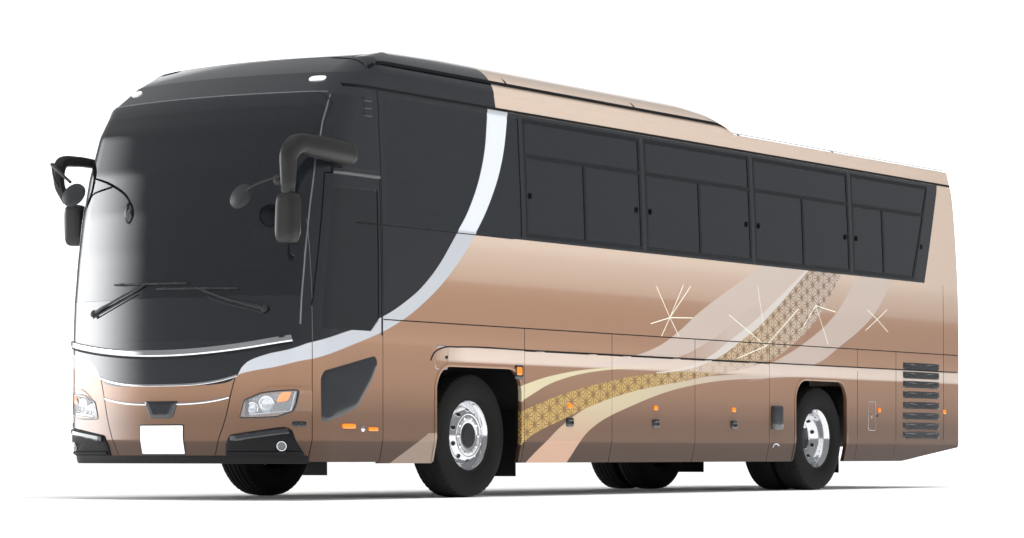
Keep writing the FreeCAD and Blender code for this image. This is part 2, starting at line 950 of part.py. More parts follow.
lamp_blocks = []
for side in (1, -1):
    name = "head_lamp_%s" % ("left" if side == 1 else "right")
    points = (
        (d.head_lamp_in * side, d.head_lamp_low + d.seam),
        (far_side * side, d.head_lamp_low + d.pillar_wide),
        (far_side * side, d.head_lamp_high),
        (d.head_lamp_in * side, d.head_lamp_high - d.pillar_wide),
    )
    lamp_blocks.append(nose_prism(name + "_region", points if side == 1 else points[::-1]))
mouth_region = nose_prism("mouth_region", (
    (-d.mouth_half / 2, d.mouth_low),
    (d.mouth_half / 2, d.mouth_low),
    (d.mouth_half, d.mouth_high),
    (-d.mouth_half, d.mouth_high),
))
bumper_slab = common("bumper_slab", nose_slab, bumper_region)
node(
    "front_bumper",
    cut("front_bumper_whole", bumper_slab, group("bumper_tools", lamp_blocks + [mouth_region])),
)
strip_region = nose_prism("strip_region", (
    (-d.strip_half, d.strip_high - d.strip_tall / 2),
    (d.strip_half, d.strip_high - d.strip_tall / 2),
    (d.strip_half, d.strip_high + d.strip_tall / 2),
    (-d.strip_half, d.strip_high + d.strip_tall / 2),
))
node("front_strip", common("front_strip_bar", strip_skin, strip_region))
node("front_grille", common("front_grille_plate", frame_skin, mouth_region))

# Roof between the cap and the tail
roof_region = side_prism("roof_region", rect(x_corner, at_rear(d.cap_end), d.cantrail_high, high_up))
node("roof", common("roof_whole", body_skin, roof_region))

# Tail: wall with the rear window, bumper, engine lid and lamp clusters
lid_low = d.bumper_split + d.seam


def tail_prism(name, y_low, y_high, z_low, z_high):
    points = ((y_low, z_low), (y_high, z_low), (y_high, z_high), (y_low, z_high))
    return prism(name, "YZ", points, x_behind, x_corner)


rear_light = tail_prism(
    "rear_light", -d.rear_pane_half, d.rear_pane_half, d.rear_pane_low, d.rear_pane_high
)
lid_region = tail_prism("lid_region", -d.lid_half, d.lid_half, lid_low, d.lid_high)
lid_hole = tail_prism(
    "lid_hole", -d.lid_half - d.seam, d.lid_half + d.seam, d.bumper_split, d.lid_high + d.hinge_gap * 2
)
tail_lamps = []
for side in (1, -1):
    edges = sorted(
        ((d.lamp_half - d.lamp_wide / 2) * side, (d.lamp_half + d.lamp_wide / 2) * side), key=value
    )
    tail_lamps.append(tail_prism("tail_lamp_%d" % (side + 1), edges[0], edges[1], d.lamp_low, d.lamp_high))
tail_slab = common(
    "tail_slab", body_skin, tail_prism("tail_region", -far_side, far_side, d.bumper_split, high_up)
)
lid_eyes, lid_leaves = [], []
x_lid_axis = x_rear + d.hinge_radius
z_lid_axis = d.lid_high + d.hinge_gap
for spot, share in enumerate((-0.6, 0.5)):
    start = d.lid_half * share
    r = d.hinge_radius
    middle = start + d.hinge_len
    nxt = middle + d.end_play
    lid_leaves.append(fuse("lid_leaf_%d" % spot, [
        rod("lid_leaf_barrel_%d" % spot, (x_lid_axis, start, z_lid_axis), "Y", r, d.hinge_len),
        block(
            "lid_leaf_tab_%d" % spot, (x_lid_axis - r, start, d.lid_high),
            (x_lid_axis + r, middle, z_lid_axis),
        ),
    ]))
    lid_eyes.append(fuse("lid_eye_%d" % spot, [
        rod("lid_eye_barrel_%d" % spot, (x_lid_axis, nxt, z_lid_axis), "Y", r, d.hinge_len),
        block(
            "lid_eye_tab_%d" % spot, (x_lid_axis - r, nxt, z_lid_axis),
            (x_lid_axis + r, nxt + d.hinge_len, z_lid_axis + d.hinge_gap),
        ),
    ]))
tail_cut = cut("tail_cut", tail_slab, group("tail_tools", [rear_light, lid_hole] + tail_lamps))
node("rear_wall", fuse("rear_wall_whole", [tail_cut] + lid_eyes))
node(
    "engine_lid",
    fuse("engine_lid_whole", [common("engine_lid_panel", body_skin, lid_region)] + lid_leaves),
)
tail_low_slab = common(
    "tail_low_slab", body_skin,
    tail_prism("tail_low_region", -far_side, far_side, deep_down, d.bumper_split)
)
node("rear_bumper", cut("rear_bumper_whole", tail_low_slab, tail_wedge))
panes.append(common("rear_pane", glass_skin, rear_light))
node("window_glass", group("window_glass_group", panes))
lamp_parts = [common("head_lamp_%d" % index, nose_slab, region) for index, region in enumerate(lamp_blocks)]
lamp_parts += [
    common("tail_lamp_lens_%d" % index, body_skin, region) for index, region in enumerate(tail_lamps)
]
node("lamps", group("lamp_group", lamp_parts))

# Entrance door: a plug leaf carried by two swan-neck arms on an upright column behind its front jamb
driving(
    column_ahead=2085,
    column_half=1020,
    column_radius=25,
    column_top=2480,
    arm_reach=440,
    arm_radius=17,
    arm_neck_x=180,
    arm_neck_y=229,
    arm_low=1250,
    arm_high=1850,
    eye_radius=26,
    eye_tall=50,
    pin_radius=10,
    lug_thick=12,
    lug_half=24,
    light_edge=95,
    light_split_low=1180,
    light_split_high=1330,
    light_low=610,
)
x_column = at_front(d.column_ahead)
x_eye = x_column - d.arm_reach
y_eye = d.column_half
door_back = at_front(d.door_back_ahead)
door_front = at_front(d.door_front_ahead)
door_region = prism("door_region", "XZ", door_points(sized(0)), sized(0), far_side)
upper_light = prism("upper_light", "XZ", (
    (door_back + d.light_edge / 2, d.light_split_high + d.light_edge),
    (door_back + d.light_edge * 1.6, d.light_split_high),
    (door_front - d.light_edge, d.light_split_high),
    (door_front - d.light_edge, d.door_bend),
    (at_front(d.door_top_ahead) - d.light_edge * 0.75, d.door_high - d.light_edge),
    (door_back + d.light_edge / 2, d.door_high - d.light_edge),
), sized(0), far_side)
lower_light = prism("lower_light", "XZ", (
    (door_front - d.light_edge * 1.6, d.light_low),
    (door_front - d.light_edge, d.light_low + d.light_edge * 2),
    (door_front - d.light_edge * 2, d.light_split_low - d.light_edge),
    (door_back + d.light_edge, d.light_split_low),
    (door_back + d.light_edge * 0.7, d.light_split_low - d.light_edge / 2),
    (door_back + d.light_edge * 2.4, d.light_low + d.light_edge * 2),
    (door_back + d.light_edge * 4, d.light_low + d.light_edge),
), sized(0), far_side)
door_lights = group("door_lights", [upper_light, lower_light])
door_panel = cut("door_panel", common("door_slab", body_skin, door_region), door_lights)
door_parts = [door_panel]
for spot, height in enumerate((d.arm_low, d.arm_high)):
    half = d.eye_tall / 2
    gap = d.end_play
    for mark, low, high in (
        ("upper", height + half + gap, height + half + gap + d.lug_thick),
        ("lower", height - half - gap - d.lug_thick, height - half - gap),
    ):
        door_parts.append(block(
            "door_lug_%s_%d" % (mark, spot),
            (x_eye - d.lug_half, y_eye - d.lug_half, low),
            (x_eye + d.lug_half, body_half - d.wall * 0.75, high)))
    door_parts.append(rod(
        "door_pin_%d" % spot, (
            x_eye, y_eye, height - half - d.lug_thick,
        ), "Z", d.pin_radius, d.eye_tall + d.lug_thick * 2))
door_parts.append(block(
    "door_post",
    (x_eye - d.lug_half, body_half - d.wall * 2, d.light_split_low + d.light_edge / 4),
    (x_eye + d.lug_half, body_half - d.wall * 0.75, d.door_high - d.light_edge / 4)))
node("passenger_door", fuse("passenger_door_whole", door_parts))
node("passenger_door_glass", common("passenger_door_panes", glass_skin, door_lights))

arm_parts = [
    rod(
        "door_column", (x_column, d.column_half, d.step_one + d.end_play), "Z", d.column_radius,
        d.column_top - d.step_one,
    )
]
for spot, height in enumerate((d.arm_low, d.arm_high)):
    neck = (x_column - d.arm_neck_x, d.column_half - d.arm_neck_y, height)
    arm_parts.append(bar("arm_root_%d" % spot, (x_column, d.column_half, height), neck, d.arm_radius))
    arm_parts.append(ball("arm_neck_%d" % spot, neck, d.arm_radius))
    arm_parts.append(bar("arm_end_%d" % spot, neck, (x_eye, y_eye, height), d.arm_radius))
    arm_parts.append(
        rod("arm_eye_%d" % spot, (x_eye, y_eye, height - d.eye_tall / 2), "Z", d.eye_radius, d.eye_tall)
    )
eye_bore = rod("eye_bore", (x_eye, y_eye, d.step_one), "Z", d.pin_radius + d.pin_clearance, d.column_top)
node("door_arms", cut("door_arms_whole", fuse("door_arms_solid", arm_parts), eye_bore))

# Floors: passenger deck, lowered cab floor, entrance steps and the bulkheads that join them
x_cab_rear = at_front(d.cab_rear_ahead)
x_cab_front = at_front(d.cab_front_ahead)
wall_in = body_half - d.wall - d.end_play
deck = block("deck", (x_corner, -wall_in, floor_under), (x_cab_rear, wall_in, d.floor_high))
cab_under = d.cab_floor - d.cab_floor_thick
cab = block(
    "cab", (x_cab_rear, -wall_in + d.nose_crown / 2, cab_under),
    (x_cab_front, d.step_edge_three, d.cab_floor)
)
cab_wall = block(
    "cab_wall", (x_cab_rear - d.cab_floor_thick, -wall_in, cab_under), (x_cab_rear, wall_in, floor_under)
)
x_step_back = at_front(d.step_back_ahead)
x_step_front = at_front(d.column_ahead) + d.column_radius * 2
step_foot = d.step_one - d.step_thick
step_lip = wall_in - d.skirt_tuck - d.step_thick
steps = prism("steps", "YZ", (
    (step_lip, step_foot),
    (step_lip, d.step_one),
    (d.step_edge_one, d.step_one),
    (d.step_edge_one, d.step_two),
    (d.step_edge_two, d.step_two),
    (d.step_edge_two, d.cab_floor),
    (d.step_edge_three, d.cab_floor),
    (d.step_edge_three, cab_under),
    (d.step_edge_two - d.step_thick, cab_under),
    (d.step_edge_two - d.step_thick, d.step_two - d.step_thick),
    (d.step_edge_one - d.step_thick, d.step_two - d.step_thick),
    (d.step_edge_one - d.step_thick, step_foot),
), x_step_back, x_step_front)
well_wall = prism("well_wall", "YZ", (
    (wall_in - d.skirt_tuck, step_foot),
    (wall_in - d.skirt_tuck, d.crease_high),
    (wall_in, d.crease_high),
    (wall_in, d.floor_high),
    (d.step_edge_three, d.floor_high),
    (d.step_edge_three, cab_under),
    (d.step_edge_two - d.step_thick, cab_under),
    (d.step_edge_one - d.step_thick, step_foot),
), x_step_back - d.cab_floor_thick, x_step_back)
well_lid = block(
    "well_lid", (x_cab_rear, d.step_edge_three, floor_under), (x_step_back, wall_in, d.floor_high)
)
aisle_steps = []
rise = d.floor_high - d.cab_floor
for index, share in enumerate((0.333, 0.667)):
    run = (x_step_back - x_cab_rear) / 2
    aisle_steps.append(block(
        "aisle_step_%d" % index,
        (x_cab_rear, -d.step_edge_three * 2, d.cab_floor),
        (x_step_back - run * index, d.step_edge_three, d.cab_floor + rise * share)))
node(
    "cabin_floor",
    fuse("cabin_floor_whole", [deck, cab, cab_wall, steps, well_wall, well_lid] + aisle_steps),
)

# Luggage hold: floor, end bulkheads and the posts behind the seams of the flaps
x_hold_front = at_rear(d.hold_front) - d.post_wide / 2
x_hold_rear = at_rear(d.hold_rear) + d.post_wide / 2
hold_under = d.hold_floor - d.hold_floor_thick
hold_parts = [
    block(
        "hold_floor_plate", (x_hold_rear, -d.hold_half, hold_under),
        (x_hold_front, d.hold_half, d.hold_floor),
    ),
    block(
        "hold_front_wall", (x_hold_front - d.hold_wall, -d.hold_half, hold_under),
        (x_hold_front, d.hold_half, floor_under),
    ),
    block(
        "hold_rear_wall", (x_hold_rear, -d.hold_half, hold_under),
        (x_hold_rear + d.hold_wall, d.hold_half, floor_under),
    ),
]
for index, seam in enumerate((d.hold_two, d.hold_three)):
    for side in (1, -1):
        edges = sorted((d.hold_half * side, (d.hold_half - d.post_deep) * side), key=value)
        hold_parts.append(block(
            "hold_post_%d_%d" % (index, side + 1),
            (at_rear(seam) - d.post_wide / 2, edges[0], hold_under),
            (at_rear(seam) + d.post_wide / 2, edges[1], floor_under)))
node("luggage_hold", fuse("luggage_hold_whole", hold_parts))

# Chassis: paired rails that run under the hold and step up over both axles
driving(
    rail_front_ahead=2240,
    rail_tail_gap=160,
    cross_wide=80,
    tow_radius=25,
    tow_thick=30,
    tow_half=55,
)
chassis_parts = []
for side in (1, -1):
    word = "left" if side == 1 else "right"
    y_low, y_high = sorted((d.rail_in * side, d.rail_out * side), key=value)
    x_front_end = at_front(d.rail_front_ahead)
    runs = (
        ("front", x_hold_front, x_front_end, d.front_rail_low, d.front_rail_high),
        ("front_drop", x_hold_front, x_hold_front + d.cross_wide, d.hold_rail_low, d.front_rail_high),
        ("hold", x_hold_rear - d.cross_wide, x_hold_front + d.cross_wide, d.hold_rail_low, hold_under),
        ("rear_drop", x_hold_rear - d.cross_wide, x_hold_rear, d.hold_rail_low, d.rear_rail_high),
        ("rear", x_rear + d.rail_tail_gap, x_hold_rear, d.rear_rail_low, d.rear_rail_high),
    )
    for mark, x_low, x_high, z_low, z_high in runs:
        chassis_parts.append(
            block("rail_%s_%s" % (mark, word), (x_low, y_low, z_low), (x_high, y_high, z_high))
        )
    tow_plate = block(
        "tow_plate_%s" % word,
        (x_front_end - d.tow_half * 2, (y_low + y_high) / 2 - d.tow_thick / 2, d.crease_high - d.tow_half),
        (x_front_end, (y_low + y_high) / 2 + d.tow_thick / 2, d.front_rail_high))
    tow_bore = rod(
        "tow_bore_%s" % word,
        (x_front_end - d.tow_half, y_low, d.crease_high), "Y", d.tow_radius, d.rail_out - d.rail_in)
    chassis_parts.append(cut("tow_eye_%s" % word, tow_plate, tow_bore))
for mark, x_mid, z_low, z_high in (
    ("nose", at_front(d.rail_front_ahead) - d.cross_wide * 2.5, d.front_rail_low, d.front_rail_high),
    ("cab", x_cab_rear, d.front_rail_low, d.front_rail_high),
    ("hold_front", x_hold_front + d.cross_wide / 2, d.front_rail_low, d.front_rail_high),
    ("hold_middle", (x_hold_front + x_hold_rear) / 2, d.hold_rail_low, hold_under),
    ("hold_rear", x_hold_rear - d.cross_wide / 2, d.rear_rail_low, d.rear_rail_high),
    ("tail", x_rear + d.rail_tail_gap + d.cross_wide / 2, d.rear_rail_low, d.rear_rail_high),
):
    chassis_parts.append(block(
        "cross_%s" % mark, (
            x_mid - d.cross_wide / 2, -d.rail_out, z_low,
        ), (x_mid + d.cross_wide / 2, d.rail_out, z_high)))
for mark, x_mid, z_low in (
    ("hold", x_hold_rear - d.cross_wide / 2, d.rear_rail_high),
    ("tail", x_corner + d.cross_wide, d.rear_rail_high),
):
    for side in (1, -1):
        y_low, y_high = sorted((d.rail_in * side, d.rail_out * side), key=value)
        chassis_parts.append(block(
            "deck_post_%s_%d" % (mark, side + 1),
            (x_mid - d.cross_wide / 2, y_low, z_low), (x_mid + d.cross_wide / 2, y_high, floor_under)))
node("chassis_frame", fuse("chassis_frame_whole", chassis_parts))

# Front axle: dropped beam with a fist and kingpin at each end, under air bellows
y_king = d.kingpin_half
ear_low = d.fist_low - d.ear_gap - d.ear_thick
ear_high = d.fist_high + d.ear_gap + d.ear_thick
axle_parts = [
    block(
        "axle_beam", (x_axle - d.axle_half_deep, -y_king, d.fist_low + d.ear_gap),
        (x_axle + d.axle_half_deep, y_king, d.axle_high),
    ),
]
for side in (1, -1):
    king = y_king * side
    axle_parts.append(
        rod(
            "fist_%d" % (side + 1), (x_axle, king, d.fist_low), "Z", d.fist_radius,
            d.fist_high - d.fist_low,
        )
    )
    axle_parts.append(
        rod("kingpin_%d" % (side + 1), (x_axle, king, ear_low), "Z", d.kingpin_radius, ear_high - ear_low)
    )
    axle_parts.append(rod(
        "bellows_%d" % (side + 1), (x_axle, (d.rail_in + d.rail_out) / 2 * side, d.axle_high), "Z",
        d.bellows_radius, d.front_rail_low - d.axle_high))
node("front_axle", fuse("front_axle_whole", axle_parts))

# Knuckles: a fork over the fist, a web outboard of it, and the spindle
driving(
    web_half=70,
    web_gap=8,
    spindle_reach=150,
    hub_clearance=0.5,
)
y_web_in = y_king + d.fist_radius + d.web_gap
y_web_out = y_web_in + d.web_thick
knuckle_parts = []
for mark, z_low, z_high in (
    ("low", ear_low, d.fist_low - d.ear_gap), ("high", d.fist_high + d.ear_gap, ear_high),
):
    knuckle_parts.append(rod("ear_%s" % mark, (x_axle, y_king, z_low), "Z", d.fist_radius, z_high - z_low))
    knuckle_parts.append(
        block(
            "ear_arm_%s" % mark, (x_axle - d.fist_radius, y_king, z_low),
            (x_axle + d.fist_radius, y_web_out, z_high),
        )
    )
knuckle_parts.append(
    block(
        "knuckle_web", (x_axle - d.web_half, y_web_in, ear_low),
        (x_axle + d.web_half, y_web_out, ear_high),
    )
)
knuckle_parts.append(
    rod(
        "spindle", (x_axle, y_web_in, d.tyre_radius), "Y", d.spindle_radius,
        d.web_thick + d.spindle_reach,
    )
)
king_bore = rod(
    "king_bore", (x_axle, y_king, ear_low - d.ear_gap), "Z", d.kingpin_radius + d.pin_clearance, ear_high
)
knuckle = cut("knuckle_left_whole", fuse("knuckle_solid", knuckle_parts), king_bore)
node("steering_knuckle_left", knuckle)
node("steering_knuckle_right", mirrored("knuckle_right_whole", knuckle))

# Wheels: steel-look alloy rims turned about the axle line; the front disc bulges out, the rear one is dished
driving(
    rim_half=115,
    rim_wall=14,
    rim_well=252,
    rim_lip=26,
    disc_thick=14,
    disc_bulge=70,
    nut_circle=168,
    tyre_shoulder=24,
    tyre_bulge=14,
    vent_radius=23,
    vent_circle=205,
    hub_face=40,
    cap_radius=62,
    rear_hub_radius=118,
    rear_hub_out=135,
    shaft_radius=50,
)
r_bead = d.rim_radius - d.end_play
y_front_wheel = d.front_track / 2


def rim_profile(half):
    """Barrel of a drop-centre rim as (radius, offset) pairs about the wheel's middle plane."""
    lip = d.rim_lip
    return (
        (r_bead, -half),
        (r_bead, -half + lip),
        (d.rim_well, -half + lip * 2),
        (d.rim_well, half - lip * 2),
        (r_bead, half - lip),
        (r_bead, half),
        (r_bead - d.rim_wall, half),
        (d.rim_well - d.rim_wall, half - lip * 2),
        (d.rim_well - d.rim_wall, -half + lip * 2),
        (r_bead - d.rim_wall, -half),
    )


def tyre(name, centre):
    """Tyre carcass: flat tread, chamfered shoulders, side walls that narrow to the beads."""
    half = d.tyre_wide / 2
    return turned(name, (
        (d.rim_radius, -d.rim_half + d.end_play),
        ((d.rim_radius + d.tyre_radius) / 2, -half),
        (d.tyre_radius - d.tyre_shoulder, -half + d.tyre_bulge),
        (d.tyre_radius, -half + d.tyre_shoulder + d.tyre_bulge),
        (d.tyre_radius, half - d.tyre_shoulder - d.tyre_bulge),
        (d.tyre_radius - d.tyre_shoulder, half - d.tyre_bulge),
        ((d.rim_radius + d.tyre_radius) / 2, half),
        (d.rim_radius, d.rim_half - d.end_play),
    ), centre)


full_turn = 360.0
vent_count = 10


def vents(name, centre, count, depth):
    """Round hand holes through a disc, evenly spaced about the wheel's axis."""
    middle = V(*[value(item) for item in centre])
    shapes = []
    for index in range(count):
        turn = FreeCAD.Rotation(V(0, 1, 0), full_turn * index / count)
        spot = middle + turn.multVec(V(0, 0, value(d.vent_circle)))
        shapes.append(Part.makeCylinder(value(d.vent_radius), value(depth), spot, V(0, 1, 0)))
    return feature(name, Part.makeCompound(shapes))


def front_wheel(side):
    word = "left" if side == 1 else "right"
    centre = (x_axle, sized(0), d.tyre_radius)
    bore = d.spindle_radius + d.hub_clearance
    y_mid = y_front_wheel
    face = y_mid + d.rim_half - d.rim_lip
    drum_in = y_web_out + d.web_gap
    half = d.rim_half
    barrel = turned("front_barrel_" + word, [(r, y + y_mid) for r, y in rim_profile(half)], centre)
    disc = turned("front_disc_" + word, (
        (bore, drum_in),
        (d.drum_radius, drum_in),
        (d.drum_radius, drum_in + d.drum_wide),
        (d.hub_radius, drum_in + d.drum_wide),
        (d.hub_radius, face - d.disc_thick),
        (d.rim_well - d.rim_wall / 2, face - d.disc_bulge - d.disc_thick),
        (d.rim_well - d.rim_wall / 2, face - d.disc_bulge),
        (d.nut_circle, face),
        (d.cap_radius, face),
        (d.cap_radius, face + d.hub_face / 2),
        (0, face + d.hub_face / 2),
        (0, y_web_out + d.spindle_reach + d.end_play),
        (bore, y_web_out + d.spindle_reach + d.end_play),
    ), centre)
    holes = vents(
        "front_vents_" + word, (x_axle, face - d.disc_bulge - d.disc_thick * 1.5, d.tyre_radius),
        vent_count, d.disc_bulge * 2
    )
    wheel = cut("front_rim_whole_" + word, fuse("front_rim_solid_" + word, [barrel, disc]), holes)
    rubber = tyre("front_carcass_" + word, (x_axle, y_mid, d.tyre_radius))
    if side == -1:
        return mirrored("front_rim_mirror", wheel), mirrored("front_tyre_mirror", rubber)
    return wheel, rubber


def rear_wheel(side):
    word = "left" if side == 1 else "right"
    centre = (x_drive, sized(0), d.tyre_radius)
    y_outer = d.rear_track / 2
    y_inner = y_outer - d.twin_pitch
    seam = (y_outer + y_inner) / 2
    half = d.rim_half
    barrels = []
    for mark, y_mid in (("outer", y_outer), ("inner", y_inner)):
        barrels.append(
            turned(
                "rear_barrel_%s_%s" % (mark, word), [(r, y + y_mid) for r, y in rim_profile(half)],
                centre,
            )
        )
    bore = d.shaft_radius + d.hub_clearance
    disc = turned("rear_disc_" + word, (
        (bore, y_inner - half),
        (d.drum_radius, y_inner - half),
        (d.drum_radius, seam - d.disc_thick * 2),
        (d.rim_well - d.rim_wall / 2, y_inner + half - d.rim_lip * 2.5),
        (d.rim_well - d.rim_wall / 2, y_outer - half + d.rim_lip * 2.5),
        (d.nut_circle + d.vent_radius, seam + d.disc_thick),
        (d.rear_hub_radius, seam + d.disc_thick),
        (d.rear_hub_radius, seam + d.rear_hub_out),
        (0, seam + d.rear_hub_out),
        (0, seam + d.end_play),
        (bore, seam + d.end_play),
    ), centre)
    holes = vents(
        "rear_vents_" + word, (x_drive, seam - d.disc_thick * 2, d.tyre_radius), vent_count,
        d.disc_bulge * 2
    )
    wheel = cut("rear_rim_whole_" + word, fuse("rear_rim_solid_" + word, barrels + [disc]), holes)
    rubber = group("rear_carcasses_" + word, [
        tyre("rear_tyre_outer_" + word, (x_drive, y_outer, d.tyre_radius)),
        tyre("rear_tyre_inner_" + word, (x_drive, y_inner, d.tyre_radius)),
    ])
    if side == -1:
        return mirrored("rear_rim_mirror", wheel), mirrored("rear_tyre_mirror", rubber)
    return wheel, rubber


for side, word in ((1, "left"), (-1, "right")):
    rim, rubber = front_wheel(side)
    node("front_rim_" + word, rim)
    node("front_tyre_" + word, rubber)
for side, word in ((1, "left"), (-1, "right")):
    rim, rubber = rear_wheel(side)
    node("rear_rims_" + word, rim)
    node("rear_tyres_" + word, rubber)

# Drive axle: tube with its bulb, shafts into the hubs, spring beams and bellows under the rails
y_seam = (d.rear_track - d.twin_pitch) / 2
y_inner_face = d.rear_track / 2 - d.twin_pitch - d.rim_half
driving(
    beam_half=520,
    beam_high=660,
    bellows_ahead=440,
)
drive_parts = [
    rod(
        "drive_tube", (x_drive, -y_inner_face + d.web_gap, d.tyre_radius), "Y", d.drive_tube,
        (y_inner_face - d.web_gap) * 2,
    ),
    ball("drive_bulb", (x_drive, sized(0), d.tyre_radius), d.drive_bulb),
    rod("drive_shafts", (x_drive, -y_seam, d.tyre_radius), "Y", d.shaft_radius, y_seam * 2),
]
y_rail = (d.rail_in + d.rail_out) / 2
for side in (1, -1):
    y_low, y_high = sorted((d.rail_in * side, d.rail_out * side), key=value)
    drive_parts.append(block(
        "spring_beam_%d" % (side + 1), (x_drive - d.beam_half, y_low, d.tyre_radius),
        (x_drive + d.beam_half, y_high, d.beam_high)))
    for end in (1, -1):
        drive_parts.append(rod(
            "drive_bellows_%d_%d" % (side + 1, end + 1),
            (x_drive + d.bellows_ahead * end, y_rail * side, d.beam_high), "Z", d.bellows_radius,
            d.rear_rail_low - d.beam_high))
node("rear_axle", fuse("rear_axle_whole", drive_parts))

# Engine, one plain block between the rear rails
x_engine_rear = x_rear + d.engine_gap
node("engine_block", block(
    "engine_block_whole",
    (x_engine_rear, -d.rail_in, d.rear_rail_high - d.engine_tall),
    (x_engine_rear + d.engine_long, d.rail_in, d.rear_rail_high + d.cross_wide)))

# Seats: pairs either side of the aisle, the driver's seat on the cab floor
driving(
    seat_rows_pitch=790,
    seat_first_behind=60,
    seat_wide=900,
    seat_aisle=180,
    seat_high=430,
    seat_deep=480,
    seat_back_high=1080,
    seat_back_thick=110,
    seat_lean=140,
    seat_foot=60,
    driver_seat_ahead=1330,
    driver_seat_half=650,
    driver_seat_wide=520,
)
seat_count = 11


def seat(name, x_back, y_low, y_high, z_floor):
    """Side view of a seat with its pedestal, cushion and leaning back."""
    return prism(name, "XZ", (
        (x_back + d.seat_foot, z_floor),
        (x_back + d.seat_deep - d.seat_foot, z_floor),
        (x_back + d.seat_deep, z_floor + d.seat_high),
        (x_back + d.seat_foot, z_floor + d.seat_high),
        (x_back - d.seat_lean + d.seat_back_thick / 2, z_floor + d.seat_back_high),
        (x_back - d.seat_lean - d.seat_back_thick / 2, z_floor + d.seat_back_high),
        (x_back - d.seat_back_thick / 2, z_floor + d.seat_high),
    ), y_low, y_high)


seats = []
for row in range(seat_count):
    x_back = at_rear(d.seat_first_behind) - d.seat_rows_pitch * row
    for side in (1, -1):
        y_low, y_high = sorted((d.seat_aisle * side, (d.seat_aisle + d.seat_wide) * side), key=value)
        seats.append(seat("seat_%d_%d" % (row + 1, side + 1), x_back, y_low, y_high, d.floor_high))
y_driver = -d.driver_seat_half
seats.append(seat(
    "driver_seat", at_front(
        d.driver_seat_ahead
    ), y_driver - d.driver_seat_wide / 2, y_driver + d.driver_seat_wide / 2, d.cab_floor))
node("seats", group("seat_group", seats))

# Dashboard on its pedestal, with the steering wheel on its column
driving(
    dash_rear_ahead=1960,
    dash_front_ahead=2230,
    dash_high=1480,
    dash_lip=90,
    dash_left=140,
    dash_right=1080,
    helm_radius=225,
    helm_rim=16,
    helm_ahead=1870,
    helm_high=1560,
    helm_lean=30,
)
dash = prism("dash", "XZ", (
    (at_front(d.dash_rear_ahead) + d.dash_lip, d.cab_floor),
    (at_front(d.dash_front_ahead) - d.dash_lip, d.cab_floor),
    (at_front(d.dash_front_ahead), d.dash_high - d.dash_lip),
    (at_front(d.dash_front_ahead) - d.dash_lip, d.dash_high),
    (at_front(d.dash_rear_ahead), d.dash_high),
    (at_front(d.dash_rear_ahead), d.dash_high - d.dash_lip * 2),
), -d.dash_right, d.dash_left)
helm_centre = V(value(at_front(d.helm_ahead)), value(y_driver), value(d.helm_high))
helm_tilt = FreeCAD.Rotation(V(0, 1, 0), -value(d.helm_lean))
helm_axis = helm_tilt.multVec(V(0, 0, 1))
helm_ring = Part.makeTorus(value(d.helm_radius), value(d.helm_rim), helm_centre, helm_axis)
helm_foot = V(
    value(at_front(d.dash_rear_ahead) + d.dash_lip), value(y_driver), value(d.dash_high - d.dash_lip * 2)
)
helm_stem = Part.makeCylinder(
    value(d.helm_rim * 1.5), (helm_centre - helm_foot).Length, helm_foot, helm_centre - helm_foot
)
helm_across = helm_tilt.multVec(V(0, 1, 0))
helm_spoke = Part.makeCylinder(
    value(d.helm_rim * 0.8), value(
        d.helm_radius * 2
    ), helm_centre - helm_across * value(d.helm_radius), helm_across)
helm = feature("helm", helm_ring.fuse([helm_stem, helm_spoke]))
node("dashboard", fuse("dashboard_whole", [dash, helm]))

# Mirrors on their curved arms, ahead of the windscreen's pillars
driving(
    mirror_root_ahead=1790,
    mirror_root_high=2730,
    mirror_bend_high=2755,
    mirror_arm_radius=34,
    mirror_half_y=1320,
    mirror_deep=150,
    mirror_wide=190,
    mirror_low=1950,
    mirror_high=2340,
    mirror_edge=18,
    far_mirror_ahead=2080,
    far_root_ahead=1840,
    far_root_high=2800,
    far_mirror_low=2060,
    far_mirror_high=2400,
    round_radius=105,
    round_thick=30,
    round_ahead=2690,
    round_half=860,
    round_high=2330,
    far_round_ahead=2720,
    far_round_half=830,
    far_round_high=2420,
    rod_radius=9,
    wiper_radius=9,
)
y_mirror = d.mirror_half_y
x_bend = x_past - d.mirror_deep / 2
root_inset = d.wall
near_parts = [
    bar("mirror_root", (
        at_front(d.mirror_root_ahead), body_half - d.gutter_tuck - root_inset, d.mirror_root_high,
    ),
        (x_bend, y_mirror, d.mirror_bend_high), d.mirror_arm_radius),
    ball("mirror_bend", (x_bend, y_mirror, d.mirror_bend_high), d.mirror_arm_radius),
    bar(
        "mirror_drop", (x_bend, y_mirror, d.mirror_bend_high),
        (x_bend, y_mirror, d.mirror_high - d.mirror_edge), d.mirror_arm_radius,
    ),
    block(
        "mirror_head", (x_past - d.mirror_deep, y_mirror - d.mirror_wide / 2, d.mirror_low),
        (x_past, y_mirror + d.mirror_wide / 2, d.mirror_high),
    ),
    bar("round_rod", (x_bend, y_mirror, d.mirror_high + d.round_radius),
        (at_front(d.round_ahead), d.round_half, d.round_high + d.round_radius * 0.5), d.rod_radius),
    rod(
        "round_mirror", (at_front(d.round_ahead) - d.round_thick / 2, d.round_half, d.round_high), "X",
        d.round_radius, d.round_thick,
    ),
]
x_far = at_front(d.far_mirror_ahead)
